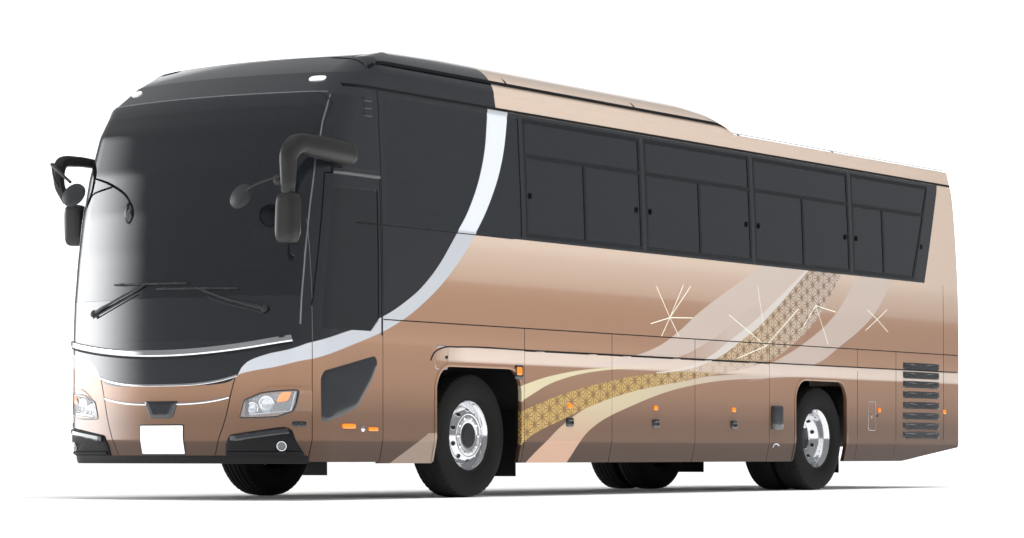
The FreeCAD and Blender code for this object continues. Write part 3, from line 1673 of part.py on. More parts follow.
far_parts = [
    bar("far_root", (
        at_front(d.far_root_ahead), -(body_half - d.gutter_tuck - root_inset), d.far_root_high,
    ),
        (x_far, -y_mirror, d.far_root_high), d.mirror_arm_radius),
    ball("far_bend", (x_far, -y_mirror, d.far_root_high), d.mirror_arm_radius),
    bar(
        "far_drop", (x_far, -y_mirror, d.far_root_high),
        (x_far, -y_mirror, d.far_mirror_high - d.mirror_edge), d.mirror_arm_radius,
    ),
    block("far_head", (x_far - d.mirror_deep / 2, -y_mirror - d.mirror_wide / 2, d.far_mirror_low),
          (x_far + d.mirror_deep / 2, -y_mirror + d.mirror_wide / 2, d.far_mirror_high)),
    bar("far_round_rod", (x_far, -y_mirror, d.far_mirror_high + d.round_radius),
        (
            at_front(d.far_round_ahead), -d.far_round_half, d.far_round_high + d.round_radius * 0.5,
        ), d.rod_radius),
    rod("far_round_mirror", (
        at_front(d.far_round_ahead) - d.round_thick / 2, -d.far_round_half, d.far_round_high,
    ), "X",
        d.round_radius, d.round_thick),
]
mirror_pair = group("mirror_pair", [
    cut("mirror_near_trim", fuse("mirror_near", near_parts), body_hull),
    cut("mirror_far_trim", fuse("mirror_far", far_parts), body_hull),
])
node("mirrors", mirror_pair)

# Mud flaps behind the wheels
driving(
    flap_thick=10,
    flap_low=170,
    flap_in=870,
    flap_out=1140,
)
flaps = []
for side in (1, -1):
    front_low, front_high = sorted((d.flap_in * side, d.flap_out * side), key=value)
    rear_low, rear_high = sorted((d.rail_out * side, d.flap_out * side), key=value)
    flaps.append(block(
        "front_flap_%d" % (side + 1),
        (x_hold_front, front_low, d.flap_low), (x_hold_front + d.flap_thick, front_high, d.front_rail_low)))
    x_flap = x_drive - d.rear_arch_half - d.flap_thick
    flaps.append(block(
        "rear_flap_%d" % (side + 1), (
            x_flap - d.flap_thick, rear_low, d.flap_low,
        ), (x_flap, rear_high, d.rear_rail_high)))
node("mudflaps", group("flap_group", flaps))

# Wipers: two pivots under the windscreen, each with its arm and blade lying ahead of the glass
driving(
    wiper_pivot_high=1475,
    wiper_blade_high=1650,
    wiper_one=920,
    wiper_one_tip=355,
    wiper_one_in=-80,
    wiper_one_out=746,
    wiper_two=-770,
    wiper_two_tip=-419,
    wiper_two_in=265,
    wiper_two_out=-551,
    wiper_boss=24,
    wiper_lift=34,
)


def nose_ahead(y_place, gap):
    """Place along X of a point that lies a gap ahead of the bowed nose."""
    bow_share = (value(y_place) / value(d.nose_half)) ** 2
    return x_front - d.screen_back - d.nose_crown * bow_share + gap


wiper_parts = []
for word, pivot, tip, inner, outer, rise in (
    ("one", d.wiper_one, d.wiper_one_tip, d.wiper_one_in, d.wiper_one_out, sized(0)),
    ("two", d.wiper_two, d.wiper_two_tip, d.wiper_two_in, d.wiper_two_out, d.wiper_boss * 2),
):
    lift = d.wiper_lift
    blade_high = d.wiper_blade_high + rise
    hub = (nose_ahead(pivot, lift), pivot, d.wiper_pivot_high)
    mid = (nose_ahead(tip, lift), tip, blade_high)
    wiper_parts += [
        rod("wiper_boss_" + word, (nose_ahead(pivot, -d.wiper_boss), pivot, d.wiper_pivot_high), "X",
            d.wiper_boss, d.wiper_boss + lift),
        bar("wiper_arm_" + word, hub, mid, d.wiper_radius),
        bar("blade_in_" + word, mid, (nose_ahead(inner, lift), inner, blade_high), d.wiper_radius),
        bar("blade_out_" + word, mid, (nose_ahead(outer, lift), outer, blade_high), d.wiper_radius),
        ball("blade_joint_" + word, mid, d.wiper_radius),
    ]
wiper_set = cut("wiper_set", fuse("wiper_whole", wiper_parts), body_hull)
node("wipers", wiper_set)

doc.recompute()
faults = [item.Name for item in doc.Objects if "Invalid" in item.State or "Error" in item.State]
if faults:
    raise RuntimeError("objects that failed: %s" % ", ".join(faults))
for item in nodes:
    if item.Shape.isNull() or not item.Shape.isValid():
        raise RuntimeError("bad shape: %s" % item.Label)
for item in nodes:
    item.Shape.exportStep("parts/%s.step" % item.Label)
    print(item.Label, len(item.Shape.Solids), round(item.Shape.Volume / 1e9, 5))
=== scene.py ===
# %% [markdown]
# A twelve metre high-decker touring coach, dressed for the studio. The CAD frame gives every panel at its real
# place, so the first step loads it and notes the box that nothing may leave.

# %% Load the packed coach
import json
import math

import bmesh
import bpy
import numpy as np
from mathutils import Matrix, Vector

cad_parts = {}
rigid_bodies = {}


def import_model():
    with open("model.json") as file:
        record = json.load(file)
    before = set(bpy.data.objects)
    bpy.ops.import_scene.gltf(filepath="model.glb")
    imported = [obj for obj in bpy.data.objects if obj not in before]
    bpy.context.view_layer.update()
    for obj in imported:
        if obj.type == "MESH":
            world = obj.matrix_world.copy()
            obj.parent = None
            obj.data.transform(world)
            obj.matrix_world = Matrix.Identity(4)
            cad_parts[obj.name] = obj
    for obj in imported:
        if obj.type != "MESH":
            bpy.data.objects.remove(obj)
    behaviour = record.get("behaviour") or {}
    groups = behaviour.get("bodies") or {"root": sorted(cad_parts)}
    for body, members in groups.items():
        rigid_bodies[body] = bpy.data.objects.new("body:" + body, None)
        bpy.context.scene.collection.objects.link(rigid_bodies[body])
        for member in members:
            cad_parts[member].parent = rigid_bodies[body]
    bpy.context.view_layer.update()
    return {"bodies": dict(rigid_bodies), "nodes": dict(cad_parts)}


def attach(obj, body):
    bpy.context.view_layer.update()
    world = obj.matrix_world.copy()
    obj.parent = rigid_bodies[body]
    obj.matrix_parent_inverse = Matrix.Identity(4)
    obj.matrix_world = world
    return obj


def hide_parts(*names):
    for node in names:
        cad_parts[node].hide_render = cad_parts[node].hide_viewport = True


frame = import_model()
X_FRONT, X_REAR = 5.910, -6.080
X_AXLE, X_DRIVE = 3.310, -2.770
TAIL_ROOM = .004  # how much further in the tail skins lie, so that lamps and plate stay inside the CAD box
BODY = "coach"

# %% [markdown]
# The body of a coach is one smooth form that panels are cut from. It could be modelled by pushing points about,
# but a form given by a few level sections can be asked for any point, and for the direction its skin faces there.
# So the sections are written down once, as height, half width, set-back of the nose and set-back of the tail.

# %% Level sections of the body form
SECTIONS = np.array([
    (.286, 1.205, .045, 0), (.474, 1.245, 0, 0), (1.237, 1.245, 0, 0),
    (1.580, 1.245, .018, 0), (1.947, 1.2417, .0596, .0052), (2.265, 1.2351, .1116, .0156),
    (2.599, 1.2230, .1870, .0312), (2.941, 1.2065, .3066, .0520), (3.178, 1.1938, .4626, .0832),
    (3.376, 1.1616, .7511, .1227), (3.529, 1.1600, 1.0668, .1535), (3.604, 1.1600, 1.4097, .1680),
    (3.629, 1.1600, 1.7605, .1730), (3.653, 1.1600, 2.1113, .1780), (3.686, 1.1600, 2.4614, .1840),
    (3.716, 1.1600, 2.8118, .1900), (3.738, 1.1600, 3.1628, .1950), (3.767, 1.1600, 3.8655, .2000),
])
NOSE_CROWN, NOSE_HALF, NOSE_REACH, TAIL_ROUND = .140, .950, .350, .150
BOW_RADIUS = (NOSE_HALF ** 2 + NOSE_CROWN ** 2) / (2 * NOSE_CROWN)
GUTTER_HIGH, GUTTER_HALF, DOME_RISE, REAR_RISE = 3.403, 1.160, .347, .097
RAMP_START, RAMP_LENGTH, CROWN_LEVEL = 5.0, 2.05, 3.6
RAMP = ((0, .2, .38, .55, .68, .78, .85, .93, 1), (1.06, 1.01, .93, .81, .66, .52, .40, .24, .06))


def section(z):
    """Half width, nose set-back and tail set-back at a height, between the rows of SECTIONS."""
    return [np.interp(z, SECTIONS[:, 0], SECTIONS[:, column]) for column in (1, 2, 3)]


def corner_poles(z):
    """Places along X of the first two poles of the drawn-in nose corner, and the half width it ends on. The third
    pole lies NOSE_REACH behind the second."""
    half, nose, _ = section(z)
    start = X_FRONT - nose - NOSE_CROWN
    knee = start - 2 * NOSE_CROWN / NOSE_HALF * (half - NOSE_HALF)
    return start, knee, half


def nose_x(y, z):
    """The nose seen from above: a circular bow up to NOSE_HALF, then a quadratic curve round the corner."""
    start, knee, half = corner_poles(z)
    y = np.abs(y)
    bow = start + NOSE_CROWN - BOW_RADIUS + np.sqrt(np.maximum(BOW_RADIUS ** 2 - y ** 2, 0))
    left = np.sqrt(np.clip((half - y) / (half - NOSE_HALF), 0, 1))
    t = 1 - left
    corner = left ** 2 * start + 2 * t * left * knee + t ** 2 * (knee - NOSE_REACH)
    return np.where(y < NOSE_HALF, bow, corner)


def flank_y(x, z):
    """The flank seen from above: straight, drawn in along the nose corner and round the tail's quarter circle."""
    start, knee, half = corner_poles(z)
    a, b, c = start - knee - NOSE_REACH, 2 * (knee - start), start - x
    t = np.clip((-b - np.sqrt(np.maximum(b * b - 4 * a * c, 0))) / (2 * a), 0, 1)
    front = half - (half - NOSE_HALF) * (1 - t) ** 2
    behind = np.clip(X_REAR + section(z)[2] + TAIL_ROUND - x, 0, TAIL_ROUND)
    return front - TAIL_ROUND + np.sqrt(TAIL_ROUND ** 2 - behind ** 2)


def tail_x(y, z):
    """The tail seen from above: flat, with a quarter circle at each side."""
    half, _, tail = section(z)
    over = np.clip(np.abs(y) - (half - TAIL_ROUND), 0, TAIL_ROUND)
    return X_REAR + TAIL_ROOM + tail + TAIL_ROUND - np.sqrt(TAIL_ROUND ** 2 - over ** 2)


def soft_min(a, b, k=.05):
    """The smaller of two heights, with the crease between them rounded over a width k."""
    h = np.clip(.5 + .5 * (b - a) / k, 0, 1)
    return b + (a - b) * h - k * h * (1 - h)


def roof_z(x, y):
    """The roof seen from above: a dome that ramps down to a low rear roof, cut off ahead by the nose's crown."""
    across = np.clip(np.abs(y) / GUTTER_HALF, 0, .9999)
    dome = GUTTER_HIGH + DOME_RISE * np.sqrt(1 - across ** 2.45)
    low = GUTTER_HIGH + REAR_RISE * np.sqrt(1 - across ** 2.396)
    ramp = GUTTER_HIGH + DOME_RISE * np.interp((X_FRONT - x - RAMP_START) / RAMP_LENGTH, *RAMP)
    back = nose_x(y, np.full_like(x, CROWN_LEVEL)) + section(CROWN_LEVEL)[1] - x
    crown = np.interp(back, SECTIONS[:, 2][6:], SECTIONS[:, 0][6:])
    return soft_min(crown, -soft_min(-low, -soft_min(dome, ramp), .02))


print("half width at the sill", round(float(section(2.2)[0]), 4))

# %% [markdown]
# A Face is one side of that form as a surface of two coordinates. It returns points at any lift off the skin, so
# lamps, handles and seals are all set on it in the same way. The outward direction comes from the difference of
# neighbouring points, so no formula for it is needed.

# %% Faces of the body
STEP = 1e-3


class Face:
    """A side of the body: base gives a point for two coordinates, and out says roughly where outwards is."""

    def __init__(self, base, out):
        self.base, self.out = base, np.array(out, float)

    def normal(self, a, b):
        """Cross product of the two differences of neighbouring points, turned to face outwards."""
        da = self.base(a + STEP, b) - self.base(a - STEP, b)
        db = self.base(a, b + STEP) - self.base(a, b - STEP)
        square = np.cross(da, db)
        square /= np.linalg.norm(square, axis=-1, keepdims=True)
        return square * np.where(square @ self.out < 0, -1, 1)[..., None]

    def at(self, a, b, lift=0.0):
        """Points of the side, lifted off it along the normal."""
        a, b, lift = np.broadcast_arrays(np.asarray(a, float), b, lift)
        return self.base(a, b) + self.normal(a, b) * lift[..., None]


def stack(x, y, z):
    """Three arrays of coordinates as one array of points."""
    return np.stack(np.broadcast_arrays(x, y, z), -1)


left = Face(lambda x, z: stack(x, flank_y(x, z), z), (0, 1, 0))
right = Face(lambda x, z: stack(x, -flank_y(x, z), z), (0, -1, 0))
nose = Face(lambda y, z: stack(nose_x(y, z), y, z), (1, 0, 0))
tail = Face(lambda y, z: stack(tail_x(y, z), y, z), (-1, 0, 0))
roof = Face(lambda x, y: stack(x, y, roof_z(x, y)), (0, 0, 1))
print("left flank faces", left.normal(0.0, 3.0).round(3))

# %% [markdown]
# A mesh from a grid of points needs only one rule for its faces: each one joins four neighbouring points. Working
# that rule out on whole arrays is quick and leaves no stray faces. Grids can close on themselves, as a ring does.


def add_piece(name, parts, finish, body=BODY, smooth=35, stands_for=None):
    """A piece that rides on a body: its parts are pairs of points and faces, its finish is its material, and
    stands_for names the CAD node that it hides and stands for."""
    points, faces = joined(parts)
    mesh = bpy.data.meshes.new(name)
    mesh.from_pydata(points.tolist(), [], faces.tolist())
    mesh.validate()
    piece = link(name, mesh)
    tidy_mesh(mesh)
    if smooth:
        mesh.shade_smooth()
        mesh.set_sharp_from_angle(angle=math.radians(smooth))
    mesh.materials.append(finishes[finish])
    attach(piece, body)
    if stands_for:
        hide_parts(stands_for)
    return piece


def link(name, data):
    """A new object with that data, put into the scene."""
    made = bpy.data.objects.new(name, data)
    bpy.context.scene.collection.objects.link(made)
    return made


def tidy_mesh(mesh):
    """Merges doubled points, drops faces without area and turns every face outwards."""
    work = bmesh.new()
    work.from_mesh(mesh)
    bmesh.ops.remove_doubles(work, verts=work.verts, dist=1e-5)
    bmesh.ops.dissolve_degenerate(work, edges=work.edges, dist=1e-6)
    bmesh.ops.recalc_face_normals(work, faces=work.faces)
    work.to_mesh(mesh)
    work.free()


def cells(rows, columns, wrap_rows=False, wrap_columns=False):
    """Corner numbers of the four-sided cells of a grid, as one array."""
    r = np.arange(rows if wrap_rows else rows - 1)
    c = np.arange(columns if wrap_columns else columns - 1)
    r, c = np.meshgrid(r, c, indexing="ij")
    nr, nc = (r + 1) % rows, (c + 1) % columns
    return np.stack([r * columns + c, r * columns + nc, nr * columns + nc, nr * columns + c], -1).reshape(-1, 4)


def joined(parts):
    """Several (points, faces) pairs as one pair."""
    points, faces, count = [], [], 0
    for part_points, part_faces in parts:
        part_points = np.asarray(part_points, float).reshape(-1, 3)
        points.append(part_points)
        faces.append(np.asarray(part_faces) + count)
        count += len(part_points)
    return np.concatenate(points), np.concatenate(faces)


def tube(rings):
    """Rings (m, k, 3) of points carried along a path, closed at both ends by a fan to a middle point."""
    m, k, _ = rings.shape
    ends = rings[[0, -1]].mean(1, keepdims=True).repeat(k, 1)
    rings = np.concatenate([ends[:1], rings, ends[1:]])
    return rings.reshape(-1, 3), cells(m + 2, k, wrap_columns=True)


# %% [markdown]
# Three forms cover nearly every fitting: a pad is a raised patch on a side of the body, a bead is a strip along a
# path drawn on it, and a sweep is a free bar. Each is a row of rings, so the rule above gives its faces.

# %% Pads, beads and bars
def superellipse(count, power):
    """Points of |a|^p + |b|^p = 1: a circle at power 2, a rounded square above it."""
    t = np.linspace(0, 2 * np.pi, count, endpoint=False) + np.pi / count
    c, s = np.cos(t), np.sin(t)
    size = (np.abs(c) ** power + np.abs(s) ** power) ** (-1 / power)
    return c * size, s * size


PAD = ((0.0, 1.0), (.55, 1.0), (.86, .97), (.96, .80), (1.0, .45), (1.0, -.25))


def pad(face, middle, half, high, power=5):
    """A raised pad on a side of the body: a superellipse swept inwards while PAD gives its height."""
    a, b = superellipse(40, power)
    share, lift = np.array(PAD).T[:, :, None]
    return tube(face.at(middle[0] + a * half[0] * share, middle[1] + b * half[1] * share, lift * high))


def bead(face, path, wide, high, sink=.002, closed=False):
    """A flat-backed rounded strip along a path drawn on a side of the body."""
    path = np.asarray(path, float)
    ahead = np.roll(path, -1, 0) - path if closed else np.gradient(path, axis=0)
    if closed:
        ahead = ahead + np.roll(ahead, 1, 0)
    ahead /= np.linalg.norm(ahead, axis=1, keepdims=True)
    across = np.stack([-ahead[:, 1], ahead[:, 0]], 1)
    side = np.array((-.5, -.5, -.28, .28, .5, .5))
    lift = np.array((-sink, high * .6, high, high, high * .6, -sink))
    spots = path[:, None] + across[:, None] * side[None, :, None] * wide
    rings = face.at(spots[..., 0], spots[..., 1], lift[None])
    return (rings, cells(len(path), len(side), True, True)) if closed else tube(rings)


def smooth_path(points, count):
    """A curve through given points: each coordinate against the chord length so far, with cubic steps between."""
    points = np.asarray(points, float)
    run = np.concatenate([[0], np.cumsum(np.linalg.norm(np.diff(points, axis=0), axis=1))])
    slope = np.gradient(points, run, axis=0)
    spots = np.linspace(0, run[-1], count)
    i = np.clip(np.searchsorted(run, spots) - 1, 0, len(run) - 2)
    h = (run[i + 1] - run[i])[:, None]
    t = (spots - run[i])[:, None] / h
    ease = 3 * t ** 2 - 2 * t ** 3
    return (1 - ease) * points[i] + ease * points[i + 1] + (t ** 3 - 2 * t ** 2 + t) * slope[i] * h \
        + (t ** 3 - t ** 2) * slope[i + 1] * h


def sweep(path, radius, flat=1.0, count=14, power=2.0, up=(0, 0, 1)):
    """A round or flattened bar: rings square to a path, with one radius for all of its points or for each."""
    path = np.asarray(path, float)
    radius = np.broadcast_to(radius, len(path))[:, None, None]
    ahead = np.gradient(path, axis=0)
    ahead /= np.linalg.norm(ahead, axis=1, keepdims=True)
    side = np.cross(ahead, np.array(up, float))
    side /= np.linalg.norm(side, axis=1, keepdims=True)
    top = np.cross(side, ahead)
    a, b = superellipse(count, power)
    return tube(path[:, None] + radius * (side[:, None] * a[None, :, None] + top[:, None] * b[None, :, None] * flat))


BEVEL = .004


def block(low, high):
    """A box with its edges taken off by BEVEL, as rings of a rounded square from the bottom to the top."""
    low, high = np.array(low, float), np.array(high, float)
    a, b = superellipse(24, 12)
    middle, half = (low + high) / 2, (high - low) / 2
    shrink = np.array((BEVEL, 0, 0, BEVEL))[:, None]
    z = np.array((low[2], low[2] + BEVEL, high[2] - BEVEL, high[2]))[:, None]
    return tube(stack(middle[0] + a * (half[0] - shrink), middle[1] + b * (half[1] - shrink), z))


print("a test block has", len(block((0, 0, 0), (1, 1, 1))[0]), "points")

# %% [markdown]
# A paint scheme is easiest to build from sums on places, such as "above this curve and ahead of that one". Drawing
# those by hand as nodes is slow to read. The Wire class lets a sum be written as a sum, and adds the nodes itself.

# %% Shader wires
class Wire:
    """An output of a shader node. Arithmetic on it adds the nodes that work the sum out."""

    def __init__(self, tree, socket=None):
        self.tree, self.socket = tree, socket

    def node(self, kind, settings, sockets, output=0):
        """Any other node: its type, then its settings, then the values and wires of its sockets."""
        made = self.tree.nodes.new(kind)
        for name, value in settings.items():
            setattr(made, name, value)
        for key, value in sockets.items():
            if isinstance(value, Wire):
                self.tree.links.new(value.socket, made.inputs[key])
            else:
                made.inputs[key].default_value = value
        return Wire(self.tree, made.outputs[output])

    def sum(self, operation, first, second=0.0, clamp=False):
        return self.node("ShaderNodeMath", {"operation": operation, "use_clamp": clamp}, {0: first, 1: second})

    def __add__(self, other): return self.sum("ADD", self, other)
    def __radd__(self, other): return self.sum("ADD", other, self)
    def __sub__(self, other): return self.sum("SUBTRACT", self, other)
    def __rsub__(self, other): return self.sum("SUBTRACT", other, self)
    def __mul__(self, other): return self.sum("MULTIPLY", self, other)
    def __rmul__(self, other): return self.sum("MULTIPLY", other, self)
    def __truediv__(self, other): return self.sum("DIVIDE", self, other)
    def __or__(self, other): return self.sum("MAXIMUM", self, other)
    def __and__(self, other): return self.sum("MINIMUM", self, other)
    def __abs__(self): return self.of("ABSOLUTE")
    def __invert__(self): return self.sum("SUBTRACT", 1.0, self)

    def of(self, operation):
        """A sum on one value, such as its sine."""
        return self.sum(operation, self)

    def over(self, edge, soft=.002):
        """1 where the value is above an edge, with a short ramp between."""
        return ((self - edge) * (1 / soft) + .5).clamp()

    def under(self, edge, soft=.002):
        return ~self.over(edge, soft)

    def clamp(self):
        return self.sum("ADD", self, 0.0, True)

    def within(self, low, high):
        return self.over(low) & self.under(high)

    def curve(self, points):
        """The value bent by a drawn curve of (input, output) pairs, level beyond its ends."""
        (low, high), (bottom, top) = [(min(side), max(side)) for side in zip(*points)]
        made = self.tree.nodes.new("ShaderNodeFloatCurve")
        spots = sorted(((x - low) / (high - low), (y - bottom) / (top - bottom)) for x, y in points)
        line = made.mapping.curves[0]
        for spot in spots[1:-1]:
            line.points.new(*spot)
        line.points[0].location, line.points[-1].location = spots[0], spots[-1]
        for point in line.points:
            point.handle_type = "AUTO_CLAMPED"
        made.mapping.update()
        self.tree.links.new(((self - low) / (high - low)).clamp().socket, made.inputs["Value"])
        return Wire(self.tree, made.outputs[0]) * (top - bottom) + bottom

    def blend(self, off, on):
        """Two colours mixed by this value."""
        return self.node("ShaderNodeMix", {"data_type": "RGBA"}, {0: self, 6: rgba(off), 7: rgba(on)}, 2)

    def parts(self):
        return [self.node("ShaderNodeSeparateXYZ", {}, {0: self}, axis) for axis in range(3)]

    def noise(self, scale, detail):
        """Cloudy noise, from 0 to 1 about a half."""
        return self.node("ShaderNodeTexNoise", {}, {"Vector": self, "Scale": scale, "Detail": detail})

    def grain(self, scale):
        """Distance to the middle of the nearest of many scattered cells."""
        return self.node("ShaderNodeTexVoronoi", {}, {"Vector": self, "Scale": scale})

    def bump(self, depth, strength):
        """A surface normal tilted by this value as a height of so many metres."""
        return self.node("ShaderNodeBump", {}, {"Strength": strength, "Distance": depth, "Height": self})


def rgba(colour):
    """A colour of three parts with its alpha added; a wire is passed on."""
    return colour if isinstance(colour, Wire) else (*colour, 1.0)


def material(name, build):
    """A material: build takes the wire of object places and returns what goes on the shader's sockets."""
    made = bpy.data.materials.new(name)
    made.use_nodes = True
    shader = made.node_tree.nodes["Principled BSDF"]
    place = Wire(made.node_tree).node("ShaderNodeTexCoord", {}, {}, "Object")
    for key, value in build(place).items():
        if isinstance(value, Wire):
            made.node_tree.links.new(value.socket, shader.inputs[key])
        else:
            shader.inputs[key].default_value = rgba(value) if isinstance(value, tuple) else value
    return made


print("sums on wires:", sorted(name for name in vars(Wire) if not name.startswith("__")))

# %% [markdown]
# The livery is a set of curves on the flank and the nose. An image would be the usual way, but it would blur close
# up. Each edge is given as a few points instead, and the shader draws a smooth curve through them. A point is
# (x, z) on the flank and (|y|, z) on the nose. The table by height gives the brightness of the bronze, and that is
# painted light: a painted reflection of the bright studio, pale high on the flank and on the roof, and painted shade,
# dark on the lower body and the sill. A pale band on the shoulder and a lighter patch low ahead of the front wheel
# are painted highlights.

# %% Livery curves and colours
STRIPE_AHEAD = ((3.098, 3.265), (3.202, 2.813), (3.424, 2.406), (3.643, 2.161), (4.028, 1.789), (4.39, 1.571),
                (4.85, 1.394), (5.244, 1.295), (5.545, 1.224))
STRIPE_BEHIND = ((2.795, 3.268), (2.917, 2.836), (3.113, 2.485), (3.365, 2.178), (3.715, 1.853), (4.099, 1.591),
                 (4.513, 1.39), (5.114, 1.205), (5.545, 1.093))
VEIL_AHEAD = ((-1.60, 2.20), (-1.164, 2.022), (-.344, 1.684), (.078, 1.474), (.45, 1.33), (.95, 1.225),
              (1.60, 1.150))
VEIL_BEHIND = ((-2.30, 2.20), (-2.004, 2.062), (-1.106, 1.657), (-.475, 1.399), (.20, 1.225), (.85, 1.160),
               (1.60, 1.146))
BRIGHT_AHEAD = ((-2.50, 2.20), (-2.252, 2.074), (-1.499, 1.691), (-.951, 1.452), (-.40, 1.235), (.05, 1.145),
                (.45, 1.102))
GOLD_TOP = ((-2.55, 2.20), (-2.335, 2.078), (-1.801, 1.761), (-1.282, 1.501), (-.344, 1.181), (.996, 1.041),
            (2.01, .881), (2.656, .726), (2.80, .68))
GOLD_BOTTOM = ((-3.25, 2.20), (-3.147, 2.117), (-2.736, 1.748), (-2.252, 1.473), (-1.659, 1.261), (-.344, 1.069),
               (.996, .898), (2.01, .665), (2.656, .455), (2.80, .28))
CREAM_TOP = ((-2.60, 1.15), (-1.659, 1.135), (-.344, 1.075), (.996, .925), (1.485, .808), (1.679, .753), (2.061, .596),
             (2.201, .520), (2.406, .393), (2.548, .293))
CREAM_LOW = ((-2.60, 1.13), (-1.78, 1.10), (-.344, 1.013), (.996, .764), (1.586, .572), (1.913, .283))
UPPER_CREAM_TOP = ((.40, 1.152), (1.419, 1.116), (2.074, 1.053), (2.80, .915))
UPPER_CREAM_LOW = ((.40, 1.146), (1.419, 1.094), (2.074, 1.001), (2.548, .856), (2.80, .755))
SILVER_AHEAD = ((-3.60, 2.20), (-3.522, 2.135), (-3.059, 1.76), (-2.524, 1.502), (-1.78, 1.255), (-1.106, 1.095),
                (-.344, 1.00))
SILVER_BEHIND = ((-4.45, 2.20), (-4.412, 2.178), (-3.836, 1.739), (-3.103, 1.419), (-2.736, 1.279), (-1.499, 1.074),
                 (-.90, 1.02))
NOSE_DARK_LOW = ((0.0, .898), (.28, .893), (.596, .910), (.69, .960), (.706, .978), (.748, 1.04), (.813, 1.085),
                 (.95, 1.13), (1.103, 1.167), (1.21, 1.224))
NOSE_SILVER_LOW = ((.69, .955), (.706, .971), (.83, 1.002), (1.003, 1.03), (1.21, 1.093))
# Painted light by height: a painted reflection of the studio makes the bronze pale up high, and painted shade makes it
# dark on the lower body and the sill.
PAINTED_SHEEN_AND_SHADE = ((.28, 0.0), (.45, .02), (.48, .15), (.60, .16), (.75, .25), (.95, .38), (1.235, .46),
         (1.25, .52), (1.42, .47), (1.74, .54), (1.80, .67), (2.05, .86), (2.17, .97), (3.2, 1.0),
         (3.75, 1.0))
# The bronze, with a painted-shade copy for the lower body and a painted-highlight copy for the top, the shoulder and
# the low patch ahead of the front wheel.
BRONZE, BRONZE_PAINTED_SHADE, BRONZE_PAINTED_HIGHLIGHT = (.47, .265, .163), (.070, .037, .023), (.87, .69, .56)
SILVER, PEARL, CREAM, GOLD = (.66, .69, .74), (.78, .66, .59), (.87, .77, .51), (.70, .47, .15)
WHITE, NIGHT, PEACH = (.90, .86, .80), (.010, .012, .016), (.85, .55, .40)
# The second colour is the painted highlight on the flank's shoulder.
GOLD_LINE, SHOULDER_PAINTED_HIGHLIGHT = (.24, .125, .055), (.93, .79, .71)
NOSE_START, STRIPE_REAR, WAIST, CANTRAIL, SILL = 5.545, 2.795, 2.19, 3.268, .474
WINDOW_LOW, WINDOW_HIGH, WINDOW_FRONT, DARK_REAR = 2.178, 3.25, 3.7, 2.975
PILLAR_Z, PILLAR_X, PILLAR_SLANT = 2.175, -5.126, -.389
LEAF_EDGE = .136
MASK_SIDE, CHIN_HIGH, CHIN_HALF = .706, .345, .60
WEDGE_HIGH, WEDGE_SLANT, WEDGE_REAR = .530, 5.105, 3.90
print("the stripe runs through", len(STRIPE_AHEAD), "points")

# %% [markdown]
# The pattern in the gold band is the traditional hemp leaf: a lattice of triangles, with each one split again from
# its middle. Three coordinates of the lattice give both sets of lines without any picture.

# %% Body paint
def hemp_leaf(x, z):
    """Lines of the hemp leaf pattern: the edges of a lattice of triangles, and its middle lines inside each one.
    With a, b, c the distances to the three edges (a + b + c = 1), an edge is where the least of them is near 0,
    and a middle line is where the two least are equal."""
    tall = LEAF_EDGE * math.sqrt(3) / 2
    lines = [(1 / tall, 0.0), (-.5 / tall, .866 / tall), (-.5 / tall, -.866 / tall)]
    a, b, c = [(x * across + z * up + 60.0).of("FRACT") for across, up in lines]
    flip = (a + b + c).over(1.5, .001)
    a, b, c = [w + flip * (1.0 - 2.0 * w) for w in (a, b, c)]
    least, most = a & b & c, a | b | c
    middle = a + b + c - least - most
    return least.under(.05, .03) | (middle - least).under(.06, .03)


